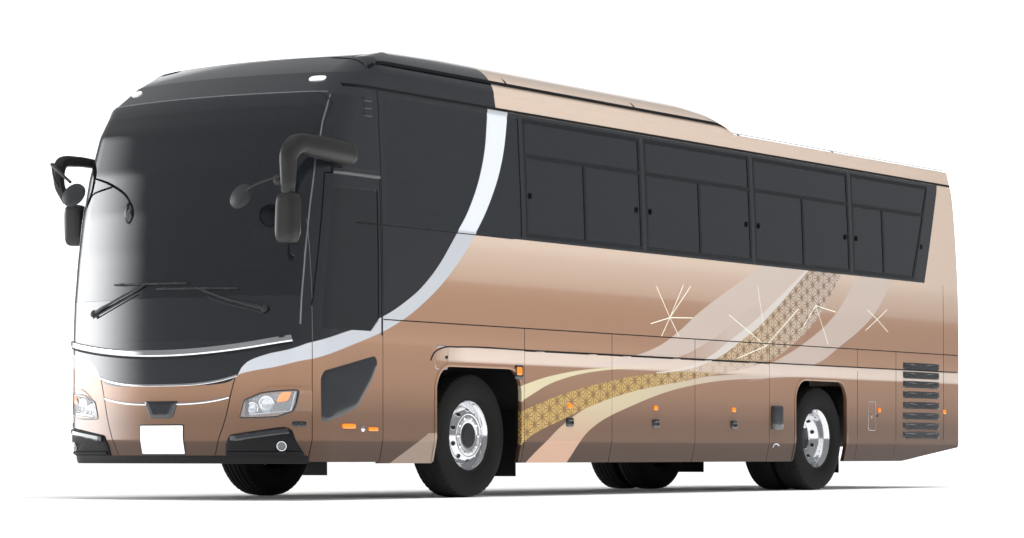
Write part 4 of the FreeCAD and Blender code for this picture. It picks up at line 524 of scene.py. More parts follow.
def livery(place):
    """Paint of the body from its place: bronze with a painted sheen above and painted shade below, a painted
    highlight on the shoulder and on a low patch ahead of the front wheel, bands on the flanks, a dark nose and window
    band. It returns the colour, where it is dark, and where the sill is."""
    x, y, z = place.parts()
    ahead = x.over(NOSE_START, .003)
    # Painted light: by height the bronze goes to its painted-shade copy low down and to its painted-highlight copy up
    # high.
    sheen = z.curve(PAINTED_SHEEN_AND_SHADE)
    paint = (sheen * 2.0 - 1.0).clamp().blend((sheen * 2.0).clamp().blend(BRONZE_PAINTED_SHADE, BRONZE), BRONZE_PAINTED_HIGHLIGHT)
    flank = z.under(WAIST) & ~ahead

    def above(points):
        """1 above a curve drawn on the flank."""
        return (z - x.curve(points)).over(0.0, .005)

    def band(top, bottom, low, high):
        """1 below one curve and above another, between two places along the coach."""
        return above(bottom) & ~above(top) & x.within(low, high) & flank

    # Painted highlight: a pale band on the shoulder, just below the door line and behind the front arch. It goes on
    # here and again over the bands.
    shoulder = z.curve(((1.11, 0.0), (1.150, 1.0), (1.232, .96), (1.240, 0.0))) * x.curve(((3.50, 1.0), (4.0, 0.0)))
    shoulder = shoulder & flank
    paint = shoulder.blend(paint, BRONZE_PAINTED_HIGHLIGHT)
    peach = z.curve(((.45, 0.0), (.80, 1.0))).blend(PEACH, CREAM)
    pale = x.curve(((-1.2, .1), (.9, 1.0))).blend(PEARL, peach)
    ground = x.curve(((-3.1, 0.0), (-1.0, .55), (.9, 1.0))).blend(PEARL, GOLD)
    for top, bottom, low, high, share, colour in (
            (VEIL_AHEAD, VEIL_BEHIND, -2.30, 1.60, .85, PEARL),
            (VEIL_BEHIND, BRIGHT_AHEAD, -2.50, .45, x.curve(((-.9, .8), (.45, 0.0))), PEARL),
            (BRIGHT_AHEAD, GOLD_TOP, -2.55, .45, .85, WHITE),
            (SILVER_AHEAD, SILVER_BEHIND, -4.45, -.90, x.curve(((-2.0, .78), (-1.2, 0.0))), PEARL),
            (CREAM_TOP, CREAM_LOW, -2.60, 2.55, .80, pale),
            (UPPER_CREAM_TOP, UPPER_CREAM_LOW, .40, 2.80, 1.0, CREAM),
            (GOLD_TOP, GOLD_BOTTOM, -3.25, 2.80, 1.0, (hemp_leaf(x, z) * .85).blend(ground, GOLD_LINE))):
        paint = (band(top, bottom, low, high) * share).blend(paint, colour)
    # The shoulder's painted highlight again, over the bands.
    paint = (shoulder * .55).blend(paint, SHOULDER_PAINTED_HIGHLIGHT)
    # Painted highlight: a lighter triangle low on the flank, just ahead of the front arch.
    wedge_highlight = z.under(WEDGE_HIGH) & (x + z * 2.0).under(WEDGE_SLANT) & x.over(WEDGE_REAR) & flank
    paint = (wedge_highlight * .35).blend(paint, BRONZE_PAINTED_HIGHLIGHT)
    stripe = above(STRIPE_BEHIND) & ~above(STRIPE_AHEAD) & x.over(STRIPE_REAR) & z.under(CANTRAIL) & ~ahead
    pillar = (z - PILLAR_Z) * PILLAR_SLANT + PILLAR_X
    windows = z.within(WINDOW_LOW, WINDOW_HIGH) & (x - pillar).over(0.0) & ~stripe & x.under(WINDOW_FRONT)
    wide = abs(y)
    dark = (above(STRIPE_AHEAD) & x.over(DARK_REAR) & ~ahead) | windows
    dark = dark | ((z - wide.curve(NOSE_DARK_LOW)).over(0.0, .004) & ahead)
    mask = (z - wide.curve(NOSE_SILVER_LOW)).over(0.0, .004) & wide.over(MASK_SIDE) & ahead & ~dark
    paint = (stripe | mask).blend(paint, SILVER)
    dark = dark | (z.under(CHIN_HIGH) & ahead & wide.under(CHIN_HALF))
    return dark.blend(paint, NIGHT), dark, z.under(SILL)


def paint_coat(place):
    """Two-layer metallic paint: the livery with fine flakes, under a clear coat with a little orange peel. The
    sill is duller than the rest."""
    colour, dark, sill = livery(place)
    return {"Base Color": (place.grain(700.0) * .22).blend(colour, (0.0, 0.0, 0.0)), "Metallic": ~dark * .35,
            "Roughness": .34 - dark * .16 + sill * .2, "Coat Weight": 1.0 - sill * .8, "Coat Roughness": .035,
            "Normal": place.noise(260.0, 1.0).bump(.00006, .25)}


print("gold lattice of", LEAF_EDGE, "m triangles")

# %% [markdown]
# Every other hard finish follows one recipe: a colour with clouds in it, uneven roughness and a fine grain as bump.
# No real surface is even, and this is what makes plastic and steel look real close up. Glass, tyre rubber and seat
# cloth have recipes of their own.

# %% Finishes
def plain(colour, roughness, metallic=0.0, coat=0.0, grain=220.0, depth=.0002, stain=.25, alpha=1.0, glow=None,
          shine=.5):
    """A finish with cloudy colour, uneven roughness and a fine grain that catches the light. glow is the colour
    that a lamp's lens gives off, as if a little light came through it."""
    def build(place):
        cloud, fine = place.noise(3.0, 6.0), place.noise(grain, 2.0)
        tone = (cloud * .6 + fine * .4) * stain
        sockets = {"Base Color": tone.blend(tuple(min(1.0, 1.12 * part) for part in colour),
                                            tuple(.45 * part for part in colour)),
                   "Roughness": roughness + cloud * .12 - .06, "Metallic": metallic, "Coat Weight": coat,
                   "Normal": fine.bump(depth, .5), "Alpha": alpha, "Specular IOR Level": shine}
        if glow:
            sockets |= {"Emission Color": glow, "Emission Strength": .35}
        return sockets
    return build


def glazing(tint, alpha, frit=False, stripe=False):
    """Tinted safety glass, a little uneven. frit darkens it softly towards the top, and stripe carries the light
    band of the livery across it as a film."""
    def build(place):
        x, y, z = place.parts()
        wave = place.noise(1.2, 1.0)
        shade = (wave * .5).blend(tint, tuple(.5 * part for part in tint))
        veil = alpha + wave * .06
        if frit:
            veil = veil | z.over(3.02, .14)
        if stripe:
            film = (z - x.curve(STRIPE_BEHIND)).over(0.0, .005) & (z - x.curve(STRIPE_AHEAD)).under(0.0, .005)
            film = film & x.over(STRIPE_REAR)
            shade, veil = film.blend(shade, SILVER), veil | film
        return {"Base Color": shade, "Roughness": .05, "Alpha": veil, "Coat Weight": 1.0, "Coat Roughness": .02,
                "Specular IOR Level": .6, "Normal": wave.bump(.0006, .3)}
    return build


def tyre_rubber(place):
    """Rubber with a little cloudy dust and a fine grain."""
    cloud, fine = place.noise(5.0, 5.0), place.noise(420.0, 2.0)
    return {"Base Color": cloud.blend((.004, .004, .0045), (.012, .0115, .011)), "Roughness": .62 + cloud * .2,
            "Specular IOR Level": .22, "Normal": fine.bump(.0003, .4)}


def seat_cloth(place):
    """Woven moquette: two crossed thread directions as a bump, with a small two-tone fleck."""
    x, y, z = place.parts()
    warp, weft = ((x + z) * 2400.0).of("SINE"), (y * 2400.0).of("SINE")
    fleck = place.grain(90.0).under(.32, .1)
    cloud = place.noise(7.0, 4.0)
    cloth = (fleck * .8).blend(cloud.blend((.050, .058, .085), (.075, .080, .105)), (.22, .20, .17))
    return {"Base Color": cloth, "Roughness": .92, "Normal": (warp * weft).bump(.0006, .5), "Sheen Weight": .3}


finishes = {name: material(name, build) for name, build in {
    "paint": paint_coat,
    "dark_gloss": plain((.012, .013, .017), .16, coat=1.0, depth=.00003, stain=.3),
    "frames": plain((.010, .011, .013), .45, grain=500.0, depth=.00008, shine=.25),
    "foil": plain((.95, .88, .74), .30, coat=1.0, grain=500.0, depth=.00003, stain=.1),
    "glass": glazing((.010, .013, .018), .86, stripe=True),
    "screen_glass": glazing((.008, .010, .013), .80, frit=True),
    "door_glass": glazing((.008, .009, .012), .90),
    "chrome": plain((.86, .87, .90), .07, metallic=1.0, grain=90.0, depth=.00003, stain=.12),
    "satin_chrome": plain((.62, .63, .66), .24, metallic=1.0, grain=300.0, depth=.00006, stain=.2),
    "plastic": plain((.022, .023, .025), .46, grain=900.0, depth=.0003, shine=.3),
    "mirror_shell": plain((.016, .015, .015), .34, grain=900.0, depth=.0001, shine=.35),
    "rubber": plain((.004, .004, .005), .55, grain=500.0, depth=.0002, shine=.25),
    "clear_lens": plain((.80, .84, .90), .03, coat=1.0, depth=.00002, stain=.1, alpha=.16),
    "amber": plain((.84, .20, .006), .10, coat=1.0, grain=160.0, depth=.0006, glow=(.9, .24, .006)),
    "red": plain((.55, .012, .010), .10, coat=1.0, grain=160.0, depth=.0006, glow=(.8, .02, .01)),
    "white_lens": plain((.80, .81, .80), .10, coat=1.0, grain=160.0, depth=.0006, glow=(1.0, 1.0, 1.0)),
    "floor": plain((.095, .090, .085), .60, grain=60.0, depth=.0006, stain=.5),
    "inner": plain((.34, .33, .31), .60, grain=140.0, depth=.0004),
    "chassis": plain((.008, .008, .009), .52, grain=35.0, depth=.0012, stain=.8),
    "alloy": plain((.80, .81, .83), .14, metallic=1.0, grain=120.0, depth=.00005, stain=.18),
    "iron": plain((.016, .016, .018), .40, metallic=.3, grain=90.0, depth=.0006, stain=.5),
    "plate": plain((.86, .87, .86), .30, grain=200.0, depth=.0002, stain=.08),
    "seat_trim": plain((.030, .030, .034), .50, grain=400.0, depth=.0005),
    "tyre": tyre_rubber, "cloth": seat_cloth,
}.items()}
print(len(finishes), "finishes")

# %% [markdown]
# A shell made of flat facets shows them as soon as it is shiny. More facets would help a little. Giving each corner
# the direction that the true form faces there removes them altogether, so highlights run smoothly over the joints
# between panels. Each CAD shell is copied, merged and given those directions.

# %% Body shells with the form's own normals
FACES = {left: (0, 2), right: (0, 2), nose: (1, 2), tail: (1, 2), roof: (0, 1)}
AGREE, NEAR, NUDGE, ROOF_ABOVE, SIDES_BELOW = .86, .045, 2.5e-3, 3.15, 3.45


def form_normals(points, facing, level):
    """For each corner, the normal of the side of the body it lies on: the one that best agrees with its face, and
    the face's own where none does. level is the face's middle height, so that creases stay sharp."""
    best, chosen = np.full(len(points), AGREE), facing.copy()
    nudged = points.copy()
    nudged[:, 2] += np.clip(level - points[:, 2], -NUDGE, NUDGE)
    for face, (i, j) in FACES.items():
        a, b = nudged[:, i], nudged[:, j]
        with np.errstate(all="ignore"):
            skin, normal = face.base(a, b), face.normal(a, b)
        near = np.linalg.norm(skin - nudged, axis=1) < NEAR
        near &= (nudged[:, 2] > ROOF_ABOVE) if face is roof else (nudged[:, 2] < SIDES_BELOW)
        agree = np.where(near & np.isfinite(normal).all(1), (normal * facing).sum(1), 0)
        better = agree > best
        best[better], chosen[better] = agree[better], normal[better]
    return chosen


def read(items, field, width=3, kind=float):
    """One field of every item of a mesh, as rows of an array."""
    values = np.zeros(len(items) * width, kind)
    items.foreach_get(field, values)
    return values.reshape(-1, width)


def body_of_node(name):
    """The body that a CAD node's object hangs from."""
    step = frame["nodes"][name]
    while step is not None:
        for body, empty in frame["bodies"].items():
            if step == empty:
                return body
        step = step.parent
    return BODY


def shell(node, finish):
    """A merged copy of a CAD node that stands for it, with the form's normals on its outer skin. Behind x = -5.90
    its points move in by up to TAIL_ROOM."""
    source = frame["nodes"][node]
    mesh = source.data.copy()
    mesh.name = node + "_skin"
    mesh.transform(source.matrix_world)
    piece = link(node + "_skin", mesh)
    tidy_mesh(mesh)
    mesh.shade_smooth()
    points = read(mesh.vertices, "co")
    points[:, 0] += TAIL_ROOM * np.clip((-5.90 - points[:, 0]) / .08, 0, 1)
    mesh.vertices.foreach_set("co", points.ravel())
    at = points[read(mesh.loops, "vertex_index", 1, np.int32)[:, 0]]
    total = read(mesh.polygons, "loop_total", 1, np.int32)[:, 0]
    facing = np.repeat(read(mesh.polygons, "normal"), total, axis=0)
    level = np.repeat(read(mesh.polygons, "center")[:, 2], total)
    mesh.normals_split_custom_set(form_normals(at, facing, level).tolist())
    mesh.materials.clear()
    mesh.materials.append(finishes[finish])
    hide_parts(node)
    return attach(piece, body_of_node(node))


painted = ["side_wall_left", "side_wall_right", "skirt_panels", "front_cap", "front_panel", "front_bumper", "roof",
           "rear_wall", "rear_bumper", "engine_lid", "emergency_door", "passenger_door", "front_grille"]
painted += [name for name in frame["nodes"] if name.startswith("luggage_door_")]
shells = dict.fromkeys(painted, "paint") | {"window_glass": "glass", "passenger_door_glass": "door_glass",
                                            "emergency_door_glass": "door_glass", "window_frames": "frames"}
for name, finish in shells.items():
    shell(name, finish)
print(len(shells), "shells")

# %% [markdown]
# The windscreen is the largest mirror on the coach, so even correct normals on large facets make its reflections
# jump. It gets a fine grid of its own instead, laid on the same form and closed by an inner face. The parts below
# and inside keep their CAD meshes and only need a finish.

# %% Windscreen and kept parts
def screen_sheet(rows=48, columns=130, thick=.006):
    """The windscreen as a closed sheet: x = nose_x(y, z) outside and a step further in on the inner face, for
    |y| up to 1.15 and z from 1.58 to 3.19."""
    z = np.linspace(1.582, 3.188, rows)[:, None]
    y = np.linspace(-1, 1, columns) * np.interp(z, (1.58, 3.10, 3.19), (1.1498, 1.1498, 1.0955))
    outer, inner = nose.at(y, z + 0 * y, 0 * y), nose.at(y, z + 0 * y, 0 * y - thick)
    return tube(np.concatenate([outer, inner[:, ::-1]], 1))


add_piece("windscreen_sheet", [screen_sheet()], "screen_glass", stands_for="windscreen")
KEPT = {"iron": "door_arms front_axle steering_knuckle_left steering_knuckle_right rear_axle engine_block",
        "floor": "cabin_floor", "chassis": "luggage_hold chassis_frame", "rubber": "mudflaps", "plastic": "dashboard"}
for finish, names in KEPT.items():
    for name in names.split():
        mesh = frame["nodes"][name].data
        mesh.materials.clear()
        mesh.materials.append(finishes[finish])
print("kept as they are:", *KEPT.values())

# %% [markdown]
# A long thin strip can be a curve with a round profile. Here it is a grid of rings instead, lifted off the skin by
# its face, so that it hugs the body wherever it goes. Seams, seals and rails are all made of such beads.

# %% Outlines and plates
def line(a, b, count=24):
    """Points evenly spaced from one pair of coordinates to another."""
    return np.linspace(a, b, count)


def rounded(points, radius, count=4):
    """A closed outline with each corner cut by a quadratic curve."""
    points = np.asarray(points, float)
    out = []
    for i, p in enumerate(points):
        before, after = points[i - 1] - p, points[(i + 1) % len(points)] - p
        r = min(radius, np.linalg.norm(before) * .45, np.linalg.norm(after) * .45)
        s, e = p + before / np.linalg.norm(before) * r, p + after / np.linalg.norm(after) * r
        t = np.linspace(0, 1, count)[:, None]
        out.append((1 - t) ** 2 * s + 2 * t * (1 - t) * p + t ** 2 * e)
    out = np.concatenate(out)
    return out[np.linalg.norm(np.roll(out, -1, 0) - out, axis=1) > 1e-5]


def dense(points, step):
    """A closed outline with extra points on its long sides."""
    points = np.asarray(points, float)
    out = []
    for p, q in zip(points, np.roll(points, -1, 0)):
        n = max(1, int(np.linalg.norm(q - p) / step))
        out.append(p + (q - p) * np.linspace(0, 1, n, endpoint=False)[:, None])
    return np.concatenate(out)


def rectangle(low_a, high_a, low_b, high_b):
    """The corners of an upright rectangle."""
    return (low_a, low_b), (high_a, low_b), (high_a, high_b), (low_a, high_b)


def shield(face, outline, high, profile=PAD, sink=0.0):
    """A raised plate of any outline on a side of the body: rings drawn in towards its middle."""
    middle = (outline.max(0) + outline.min(0)) / 2
    share, lift = np.array(profile, float).T[:, :, None]
    spots = middle + (outline - middle) * share[..., None]
    return tube(face.at(spots[..., 0], spots[..., 1], lift * high - sink))


def plate(face, corners, radius, step, high, count=4, **more):
    """A shield whose outline is a polygon with rounded corners."""
    return shield(face, dense(rounded(corners, radius, count), step), high, **more)


print("a rounded square has", len(rounded(rectangle(0, 1, 0, 1), .1)), "points")

# %% Seams and drip rails
GUTTER = smooth_path(((4.020, 1.120), (3.975, 1.180), (3.860, 1.224), (3.600, 1.240), (2.633, 1.2425)), 40)
SEAMS = [(line((4.668, 1.428), (-6.02, 1.428), 120), .009, .0012), (line((2.79, 2.178), (5.0, 2.178), 30), .008, .0014),
         (GUTTER, .011, .006), (line((2.633, 1.2425), (-5.90, 1.2425), 90), .011, .006),
         (line((-5.581, .45), (-5.581, 2.18)), .008, .0012), (line((-3.555, .30), (-3.555, 1.20), 12), .007, .001),
         (line((-4.435, .35), (-4.435, 1.425), 16), .007, .001)]
SEAMS += [(line((x, 1.245), (x, 1.425), 10), .007, .001) for x in (2.633, 1.217, -.252, -1.69, -3.555, -4.435)]
add_piece("flank_seams", [bead(face, *seam) for face in (left, right) for seam in SEAMS], "rubber", smooth=0)
rails = [bead(face, line((5.05, 3.262), (-5.94, 3.262), 140), .022, .007) for face in (left, right)]
add_piece("drip_rails", rails, "rubber")
seams = [bead(roof, line((x, -1.13), (x, 1.13), 60), .014, .0025) for x in (4.74, 2.72, .62, -1.35, -3.3)]
seams += [bead(roof, line((4.72, y), (-5.80, y), 140), .020, .003) for y in (1.128, -1.128)]
add_piece("roof_seams", seams, "rubber", smooth=0)
ribs = [bead(roof, line((-1.55, y), (-5.6, y), 60), .020, .010) for y in np.linspace(-.95, .95, 20)]
add_piece("rear_roof_ribs", ribs, "satin_chrome")
print(len(SEAMS), "seams on each flank,", len(ribs), "ribs")

# %% [markdown]
# The sparkles on the flank are strips of bright foil. As paint, their thin rays would break up into steps, so each
# ray is a flat bead from its star's middle to its tip. The windscreen's bright edge is made of beads too.

# %% Sparkles and bright edge
STARS = (((.206, 1.61), ((.44, 1.885), (-.045, 1.923), (-.176, 1.914), (.547, 1.542), (-.217, 1.623),
                          (.042, 1.445), (.356, 1.435))),
         ((-1.621, 1.403), ((-.89, 1.68), (-2.285, 1.79), (-1.05, 1.27))), ((-1.462, 1.973), ((-1.571, 1.594),)),
         ((-2.652, 1.838), ((-3.079, 1.789), (-2.35, 1.588), (-2.913, 1.458))),
         ((-4.003, 1.748), ((-3.737, 1.627), (-4.234, 1.86), (-4.249, 1.627), (-3.778, 1.841))))
rays = [bead(face, line(middle, tip, 8), .008, .0006) for face, stars in ((left, STARS), (right, STARS[:4]))
        for middle, tips in stars for tip in tips]
add_piece("livery_stars", rays, "foil")
EDGE = np.array(((1.155, 1.36), (1.159, 1.80), (1.158, 2.20), (1.150, 2.60), (1.136, 2.95), (1.116, 3.17)))
edge = [bead(nose, line((-1.095, 3.193), (1.095, 3.193), 90), .007, .004)]
edge += [bead(nose, smooth_path(EDGE * (side, 1), 60), .007, .004) for side in (1, -1)]
add_piece("screen_bright_edge", edge, "satin_chrome")
print(len(rays), "rays")

# %% [markdown]
# A wheel is all rings, so each part is a profile turned about the axle. Tread is the same thing with the radius
# changed by place: grooves run round where the width says so, and notches cross the shoulders by angle.

# %% Turned parts
SIDES = ((1, "left"), (-1, "right"))


def lathe(profile, centre, axis, count=48, start=0.0):
    """A profile of (radius, place along the axis) turned about an axis through a centre."""
    r, along = np.array(profile, float).T[:, :, None, None]
    axis = np.array(axis, float) / np.linalg.norm(axis)
    side = np.cross(axis, (0, 0, 1) if abs(axis[2]) < .9 else (1, 0, 0))
    side /= np.linalg.norm(side)
    t = np.linspace(0, 2 * np.pi, count, endpoint=False)[:, None] + start
    return tube(np.array(centre, float) + (side * np.cos(t) + np.cross(side, axis) * np.sin(t)) * r + axis * along)


def hump(value, middle, wide):
    """A smooth bump of height 1 about a middle value."""
    return np.exp(-((value - middle) / wide) ** 2)


TYRE_OUT, TYRE_IN, TYRE_HALF, TREAD_HALF, TREAD_DROP = .515, .290, .145, .122, .007


def tyre(centre, side, count):
    """A tyre as a closed ring of profiles. Around it r falls by 11 mm in four grooves and by 7 mm in shoulder
    notches where cos(54 t) is high; the sidewall carries three fine ribs."""
    t = np.linspace(0, 2 * np.pi, count, endpoint=False)[None]
    s = np.linspace(-1, 1, 60)[:, None]
    groove = sum(hump(s, at, .035) for at in (-.56, -.19, .19, .56)) * .011
    notch = np.clip(np.cos(54 * t) * 3 - 1.2, 0, 1) * np.clip((np.abs(s) - .66) * 9, 0, 1) * TREAD_DROP
    fine = np.clip(np.cos(72 * t + 9 * s) * 4 - 3, 0, 1) * .002 * (np.abs(s) < .64)
    tread = TYRE_OUT - TREAD_DROP * s ** 4 - groove - notch - fine
    u = np.linspace(0, 1, 26)[1:, None]
    wall = TYRE_OUT - TREAD_DROP - (TYRE_OUT - TREAD_DROP - TYRE_IN) * u + 0 * t
    bulge = TREAD_HALF + (TYRE_HALF - TREAD_HALF) * np.sin(np.pi * np.minimum(u * 1.16, 1)) ** .55
    bulge += .0016 * (hump(u, .30, .012) + hump(u, .36, .012) + hump(u, .80, .015)) - .0018
    bulge = np.minimum(bulge - .03 * np.maximum(u - .8, 0), TYRE_HALF)
    r = np.concatenate([wall[::-1], tread, wall])
    y = np.concatenate([-bulge[::-1], s * TREAD_HALF, bulge])
    points = stack(centre[0] + r * np.cos(t), centre[1] + side * y, centre[2] + r * np.sin(t))
    return points, cells(*r.shape, True, True)


def away(turn):
    """The direction at an angle about the axle."""
    return np.array((math.cos(turn), 0, math.sin(turn)))


def nuts(centre, side, circle, low, high, count=10, size=.0155):
    """Hexagonal nuts with domed tips, standing round a wheel's middle."""
    profile = ((size * 1.35, low), (size * 1.35, low + .004), (size, low + .0045), (size, high - .008),
               (size * .8, high - .002), (size * .4, high))
    return [lathe(profile, centre + away(turn) * circle, (0, side, 0), 6, turn)
            for turn in np.arange(count) * 2 * np.pi / count]


def hand_holes(centre, side, circle, out, lean, size, count=10):
    """Dark cups and their bright rims, set on the sloping part of a wheel disc. lean is the slope's outward
    direction as (away from the axle, along it)."""
    cups, rings = [], []
    for turn in (np.arange(count) + .5) * 2 * np.pi / count:
        at = centre + away(turn) * circle + (0, side * out, 0)
        axis = away(turn) * lean[0] + (0, side * lean[1], 0)
        cups.append(lathe(((.002, .0030), (size * .92, .0030), (size, .0015), (size, -.012)), at, axis, 24))
        rings.append(lathe(((size, -.006), (size, .0045), (size * 1.10, .0050), (size * 1.2, -.004)), at, axis, 24))
    return cups, rings


print("a nut has", len(nuts((0, 0, 0), 1, .15, .1, .11, 1)[0][0]), "points")

# %% [markdown]
# The front disc is pushed outwards and the rear one is dished inwards, but they are built alike. So both come from
# one loop, and the tables hold what differs: the profiles, the circles of nuts and hand holes, and the cap.

# %% Wheels
FRONT_RIM = ((.055, .104), (.112, .1085), (.188, .1095), (.196, .1085), (.226, .078), (.240, .046), (.250, .030),
             (.258, .030), (.264, .045), (.268, .066), (.274, .082), (.286, .092), (.289, .105), (.293, .1135),
             (.2972, .1148), (.2985, .108), (.296, .04), (.262, 0), (.100, -.020))
REAR_RIM = ((.100, .085), (.188, .087), (.198, .091), (.222, .128), (.236, .150), (.246, .168), (.252, .195),
            (.256, .225), (.266, .245), (.280, .258), (.286, .268), (.293, .2740), (.2972, .2748), (.2985, .268),
            (.296, .200), (.262, .100), (.150, -.010))
TWIN_RIM = ((.245, -.010), (.258, -.050), (.258, -.235), (.284, -.262), (.2975, -.2740), (.2985, -.262), (.296, -.05),
            (.262, 0))
FRONT_CAP = ((.104, .095), (.104, .1085), (.096, .1105), (.076, .1090), (.070, .1135), (.034, .1145), (.012, .1148))
REAR_CAP = ((.118, .02), (.118, .110), (.108, .126), (.080, .132), (.074, .134), (.02, .1345))
WHEELS = {
    "front": (X_AXLE, 1.020, "front_wheel_%s", "front_tyre_%s", "front_rim_%s", ((1.020, 216),), ((FRONT_RIM, 96),),
              (.211, .0935, (.713, .701), .0195), (.150, .105, .1145),
              (((.119, .100), (.120, .1120), (.126, .1130), (.129, .100)),
               ((.172, .100), (.173, .1125), (.180, .1130), (.183, .100))), FRONT_CAP),
    "rear": (X_DRIVE, .910, "rear_wheels_%s", "rear_tyres_%s", "rear_rims_%s", ((1.070, 216), (.750, 108)),
             ((REAR_RIM, 96), (TWIN_RIM, 80)), (.216, .119, (-.84, .54), .0210), (.155, .080, .115),
             (((.180, .080), (.181, .0920), (.187, .0930), (.190, .080)),), REAR_CAP)}
for side, word in SIDES:
    for end, (x, y, body, old_tyre, old_rim, tyres, rims, holes, circle, bands, cap) in WHEELS.items():
        body, hub, name = body % word, (x, y * side, TYRE_OUT), "_%s_%s" % (end, word)
        rubber = [tyre((x, place * side, TYRE_OUT), side, count) for place, count in tyres]
        add_piece("tread" + name, rubber, "tyre", body, stands_for=old_tyre % word)
        rims = [lathe(profile, hub, (0, side, 0), count) for profile, count in rims]
        add_piece("wheel" + name, rims, "alloy", body, smooth=40, stands_for=old_rim % word)
        cups, rings = hand_holes(hub, side, *holes)
        rings += nuts(hub, side, *circle) + [lathe(profile, hub, (0, side, 0), 72) for profile in bands]
        add_piece("wheel_trim" + name, rings, "chrome", body)
        small = nuts(hub, side, .094, .128, .1345, 8, .008) if end == "rear" else []
        add_piece("hub_cap" + name, [lathe(cap, hub, (0, side, 0))] + small + cups, "iron", body)
print("four wheels, with", TYRE_OUT * 2, "m tyres")

# %% [markdown]
# Lamps read as real when there is depth behind the lens. A flat coloured patch would be simpler but looks like tape.
# So each head lamp is a dark bowl with a projector, a reflector and an amber corner, under a clear cover.

# %% Head lamps
LAMP_OUTLINE = ((.718, .642), (.757, .774), (.898, .830), (1.060, .848), (1.150, .852), (1.140, .760), (1.122, .690),
                (1.016, .646), (.86, .640))
LAMP_CORNER = ((.719, .643), (.757, .772), (.800, .790), (.790, .700), (.800, .642))
LAMP_AMBER = ((1.010, .757), (1.088, .768), (1.112, .838), (1.045, .832))
LAMP_OPENING = ((.762, .645), (.762, .852), (1.207, .852), (1.207, .645))
BOWL = ((0, -1), (.55, -1), (.86, -.85), (.96, -.25), (1, .02), (1, -1.3), (.4, -1.3))
COVER = ((0, 1), (.6, 1), (.9, .9), (.985, .5), (1, -1), (.6, -1.6))


def reach(outline, angles, middle):
    """Distance from a middle to a closed outline in each direction."""
    spots = dense(outline, .004) - np.array(middle)
    turn, far = np.arctan2(spots[:, 1], spots[:, 0]), np.linalg.norm(spots, axis=1)
    order = np.argsort(turn)
    return np.interp(angles, turn[order], far[order], period=2 * np.pi)


def collar(face, inner, outer, flip, low=.020, count=120):
    """A flat ring of bodywork between two outlines about the same middle, with a turned-in edge on each side."""
    middle = (np.max(inner, 0) + np.min(inner, 0)) / 2
    angles = np.linspace(-np.pi, np.pi, count, endpoint=False)
    near = reach(inner, angles, middle)
    far = np.maximum(reach(outer, angles, middle), near + .001)
    radii, lift = np.stack([near, near, far, far]), np.array((-low, .0005, .0005, -low))[:, None]
    a, b = middle[0] + radii * np.cos(angles), middle[1] + radii * np.sin(angles)
    return face.at(a * flip, b, lift), cells(4, count, True, True)


def socket(y, z, lift, *turned):
    """Profiles turned about the outward direction at a place on the nose, given as (profile, count)."""
    at, out = nose.at(y, z, lift), nose.normal(y, z)
    return [lathe(profile, at, out, count) for profile, count in turned]


bowls, bright, clear, amber, paint = [], [], [], [], []
for side, _ in SIDES:
    flip = np.array((side, 1))
    outline = dense(rounded(LAMP_OUTLINE, .020, 5), .02) * flip
    bowls += [plate(nose, LAMP_CORNER * flip, .015, .02, .0016, sink=.004), shield(nose, outline, .046, BOWL),
              bead(nose, outline, .012, .004, .006, closed=True),
              pad(nose, (1.150 * side, .592), (.036, .020), .006, 6)]
    paint.append(collar(nose, rounded(LAMP_OUTLINE, .020, 5), rounded(LAMP_OPENING, .004, 3), side))
    for y, z, r, deep in ((.822, .712, .044, .030), (.934, .744, .058, .036)):
        rim, lens = socket(y * side, z, -.010, (
            ((r * .15, -deep), (r * .55, -deep * .85), (r * .85, -deep * .4), (r, .004), (r * 1.10, .006),
             (r * 1.16, 0), (r * 1.16, -deep * 1.1)), 40), (
            ((r * .02, .004), (r * .3, .002), (r * .6, -.008), (r * .74, -.020), (r * .74, -.026)), 32))
        bright.append(rim)
        clear.append(lens)
    bright += [bead(nose, line((.800 * side, .664), (1.115 * side, .690), 20), .012, -.006, .012),
               bead(nose, line((1.136 * side, .838), (1.108 * side, .690), 12), .010, -.001, .010)]
    amber.append(plate(nose, LAMP_AMBER * flip, .015, .02, -.006, sink=.002))
    clear.append(shield(nose, outline, .004, COVER))
    hood = np.array(((.80, .800), (.93, .872), (1.10, .884), (1.19, .880)))
    paint.append(bead(nose, smooth_path(hood * flip, 24), .010, .006))
add_piece("turn_lamps", amber, "amber")
add_piece("lamp_hoods", paint, "paint")
print("head lamps with", len(clear), "lenses")

# %% [markdown]
# Below the windscreen, everything follows the nose: the dark lower corners with their fog lamps, the thin bright
# lines, and a chromed strip with a knurled end on each side, with a dark band under the strip as its painted shadow.
# All of it is beads and plates on the nose's face.

# %% Nose
FOG_CORNER = ((.581, .346), (.596, .434), (.636, .509), (1.068, .571), (1.115, .547), (1.163, .346))
FLAP_CUT = np.array(((.682, .950), (.655, .860), (.600, .640), (.490, .352)))
STRIP_HALF, KNURL_START, KNURL_END = 1.112, .62, 1.095


def strip_z(y):
    """Height of the chromed strip's middle line, a parabola across the nose."""
    return 1.147 + .104 * (y / STRIP_HALF) ** 2


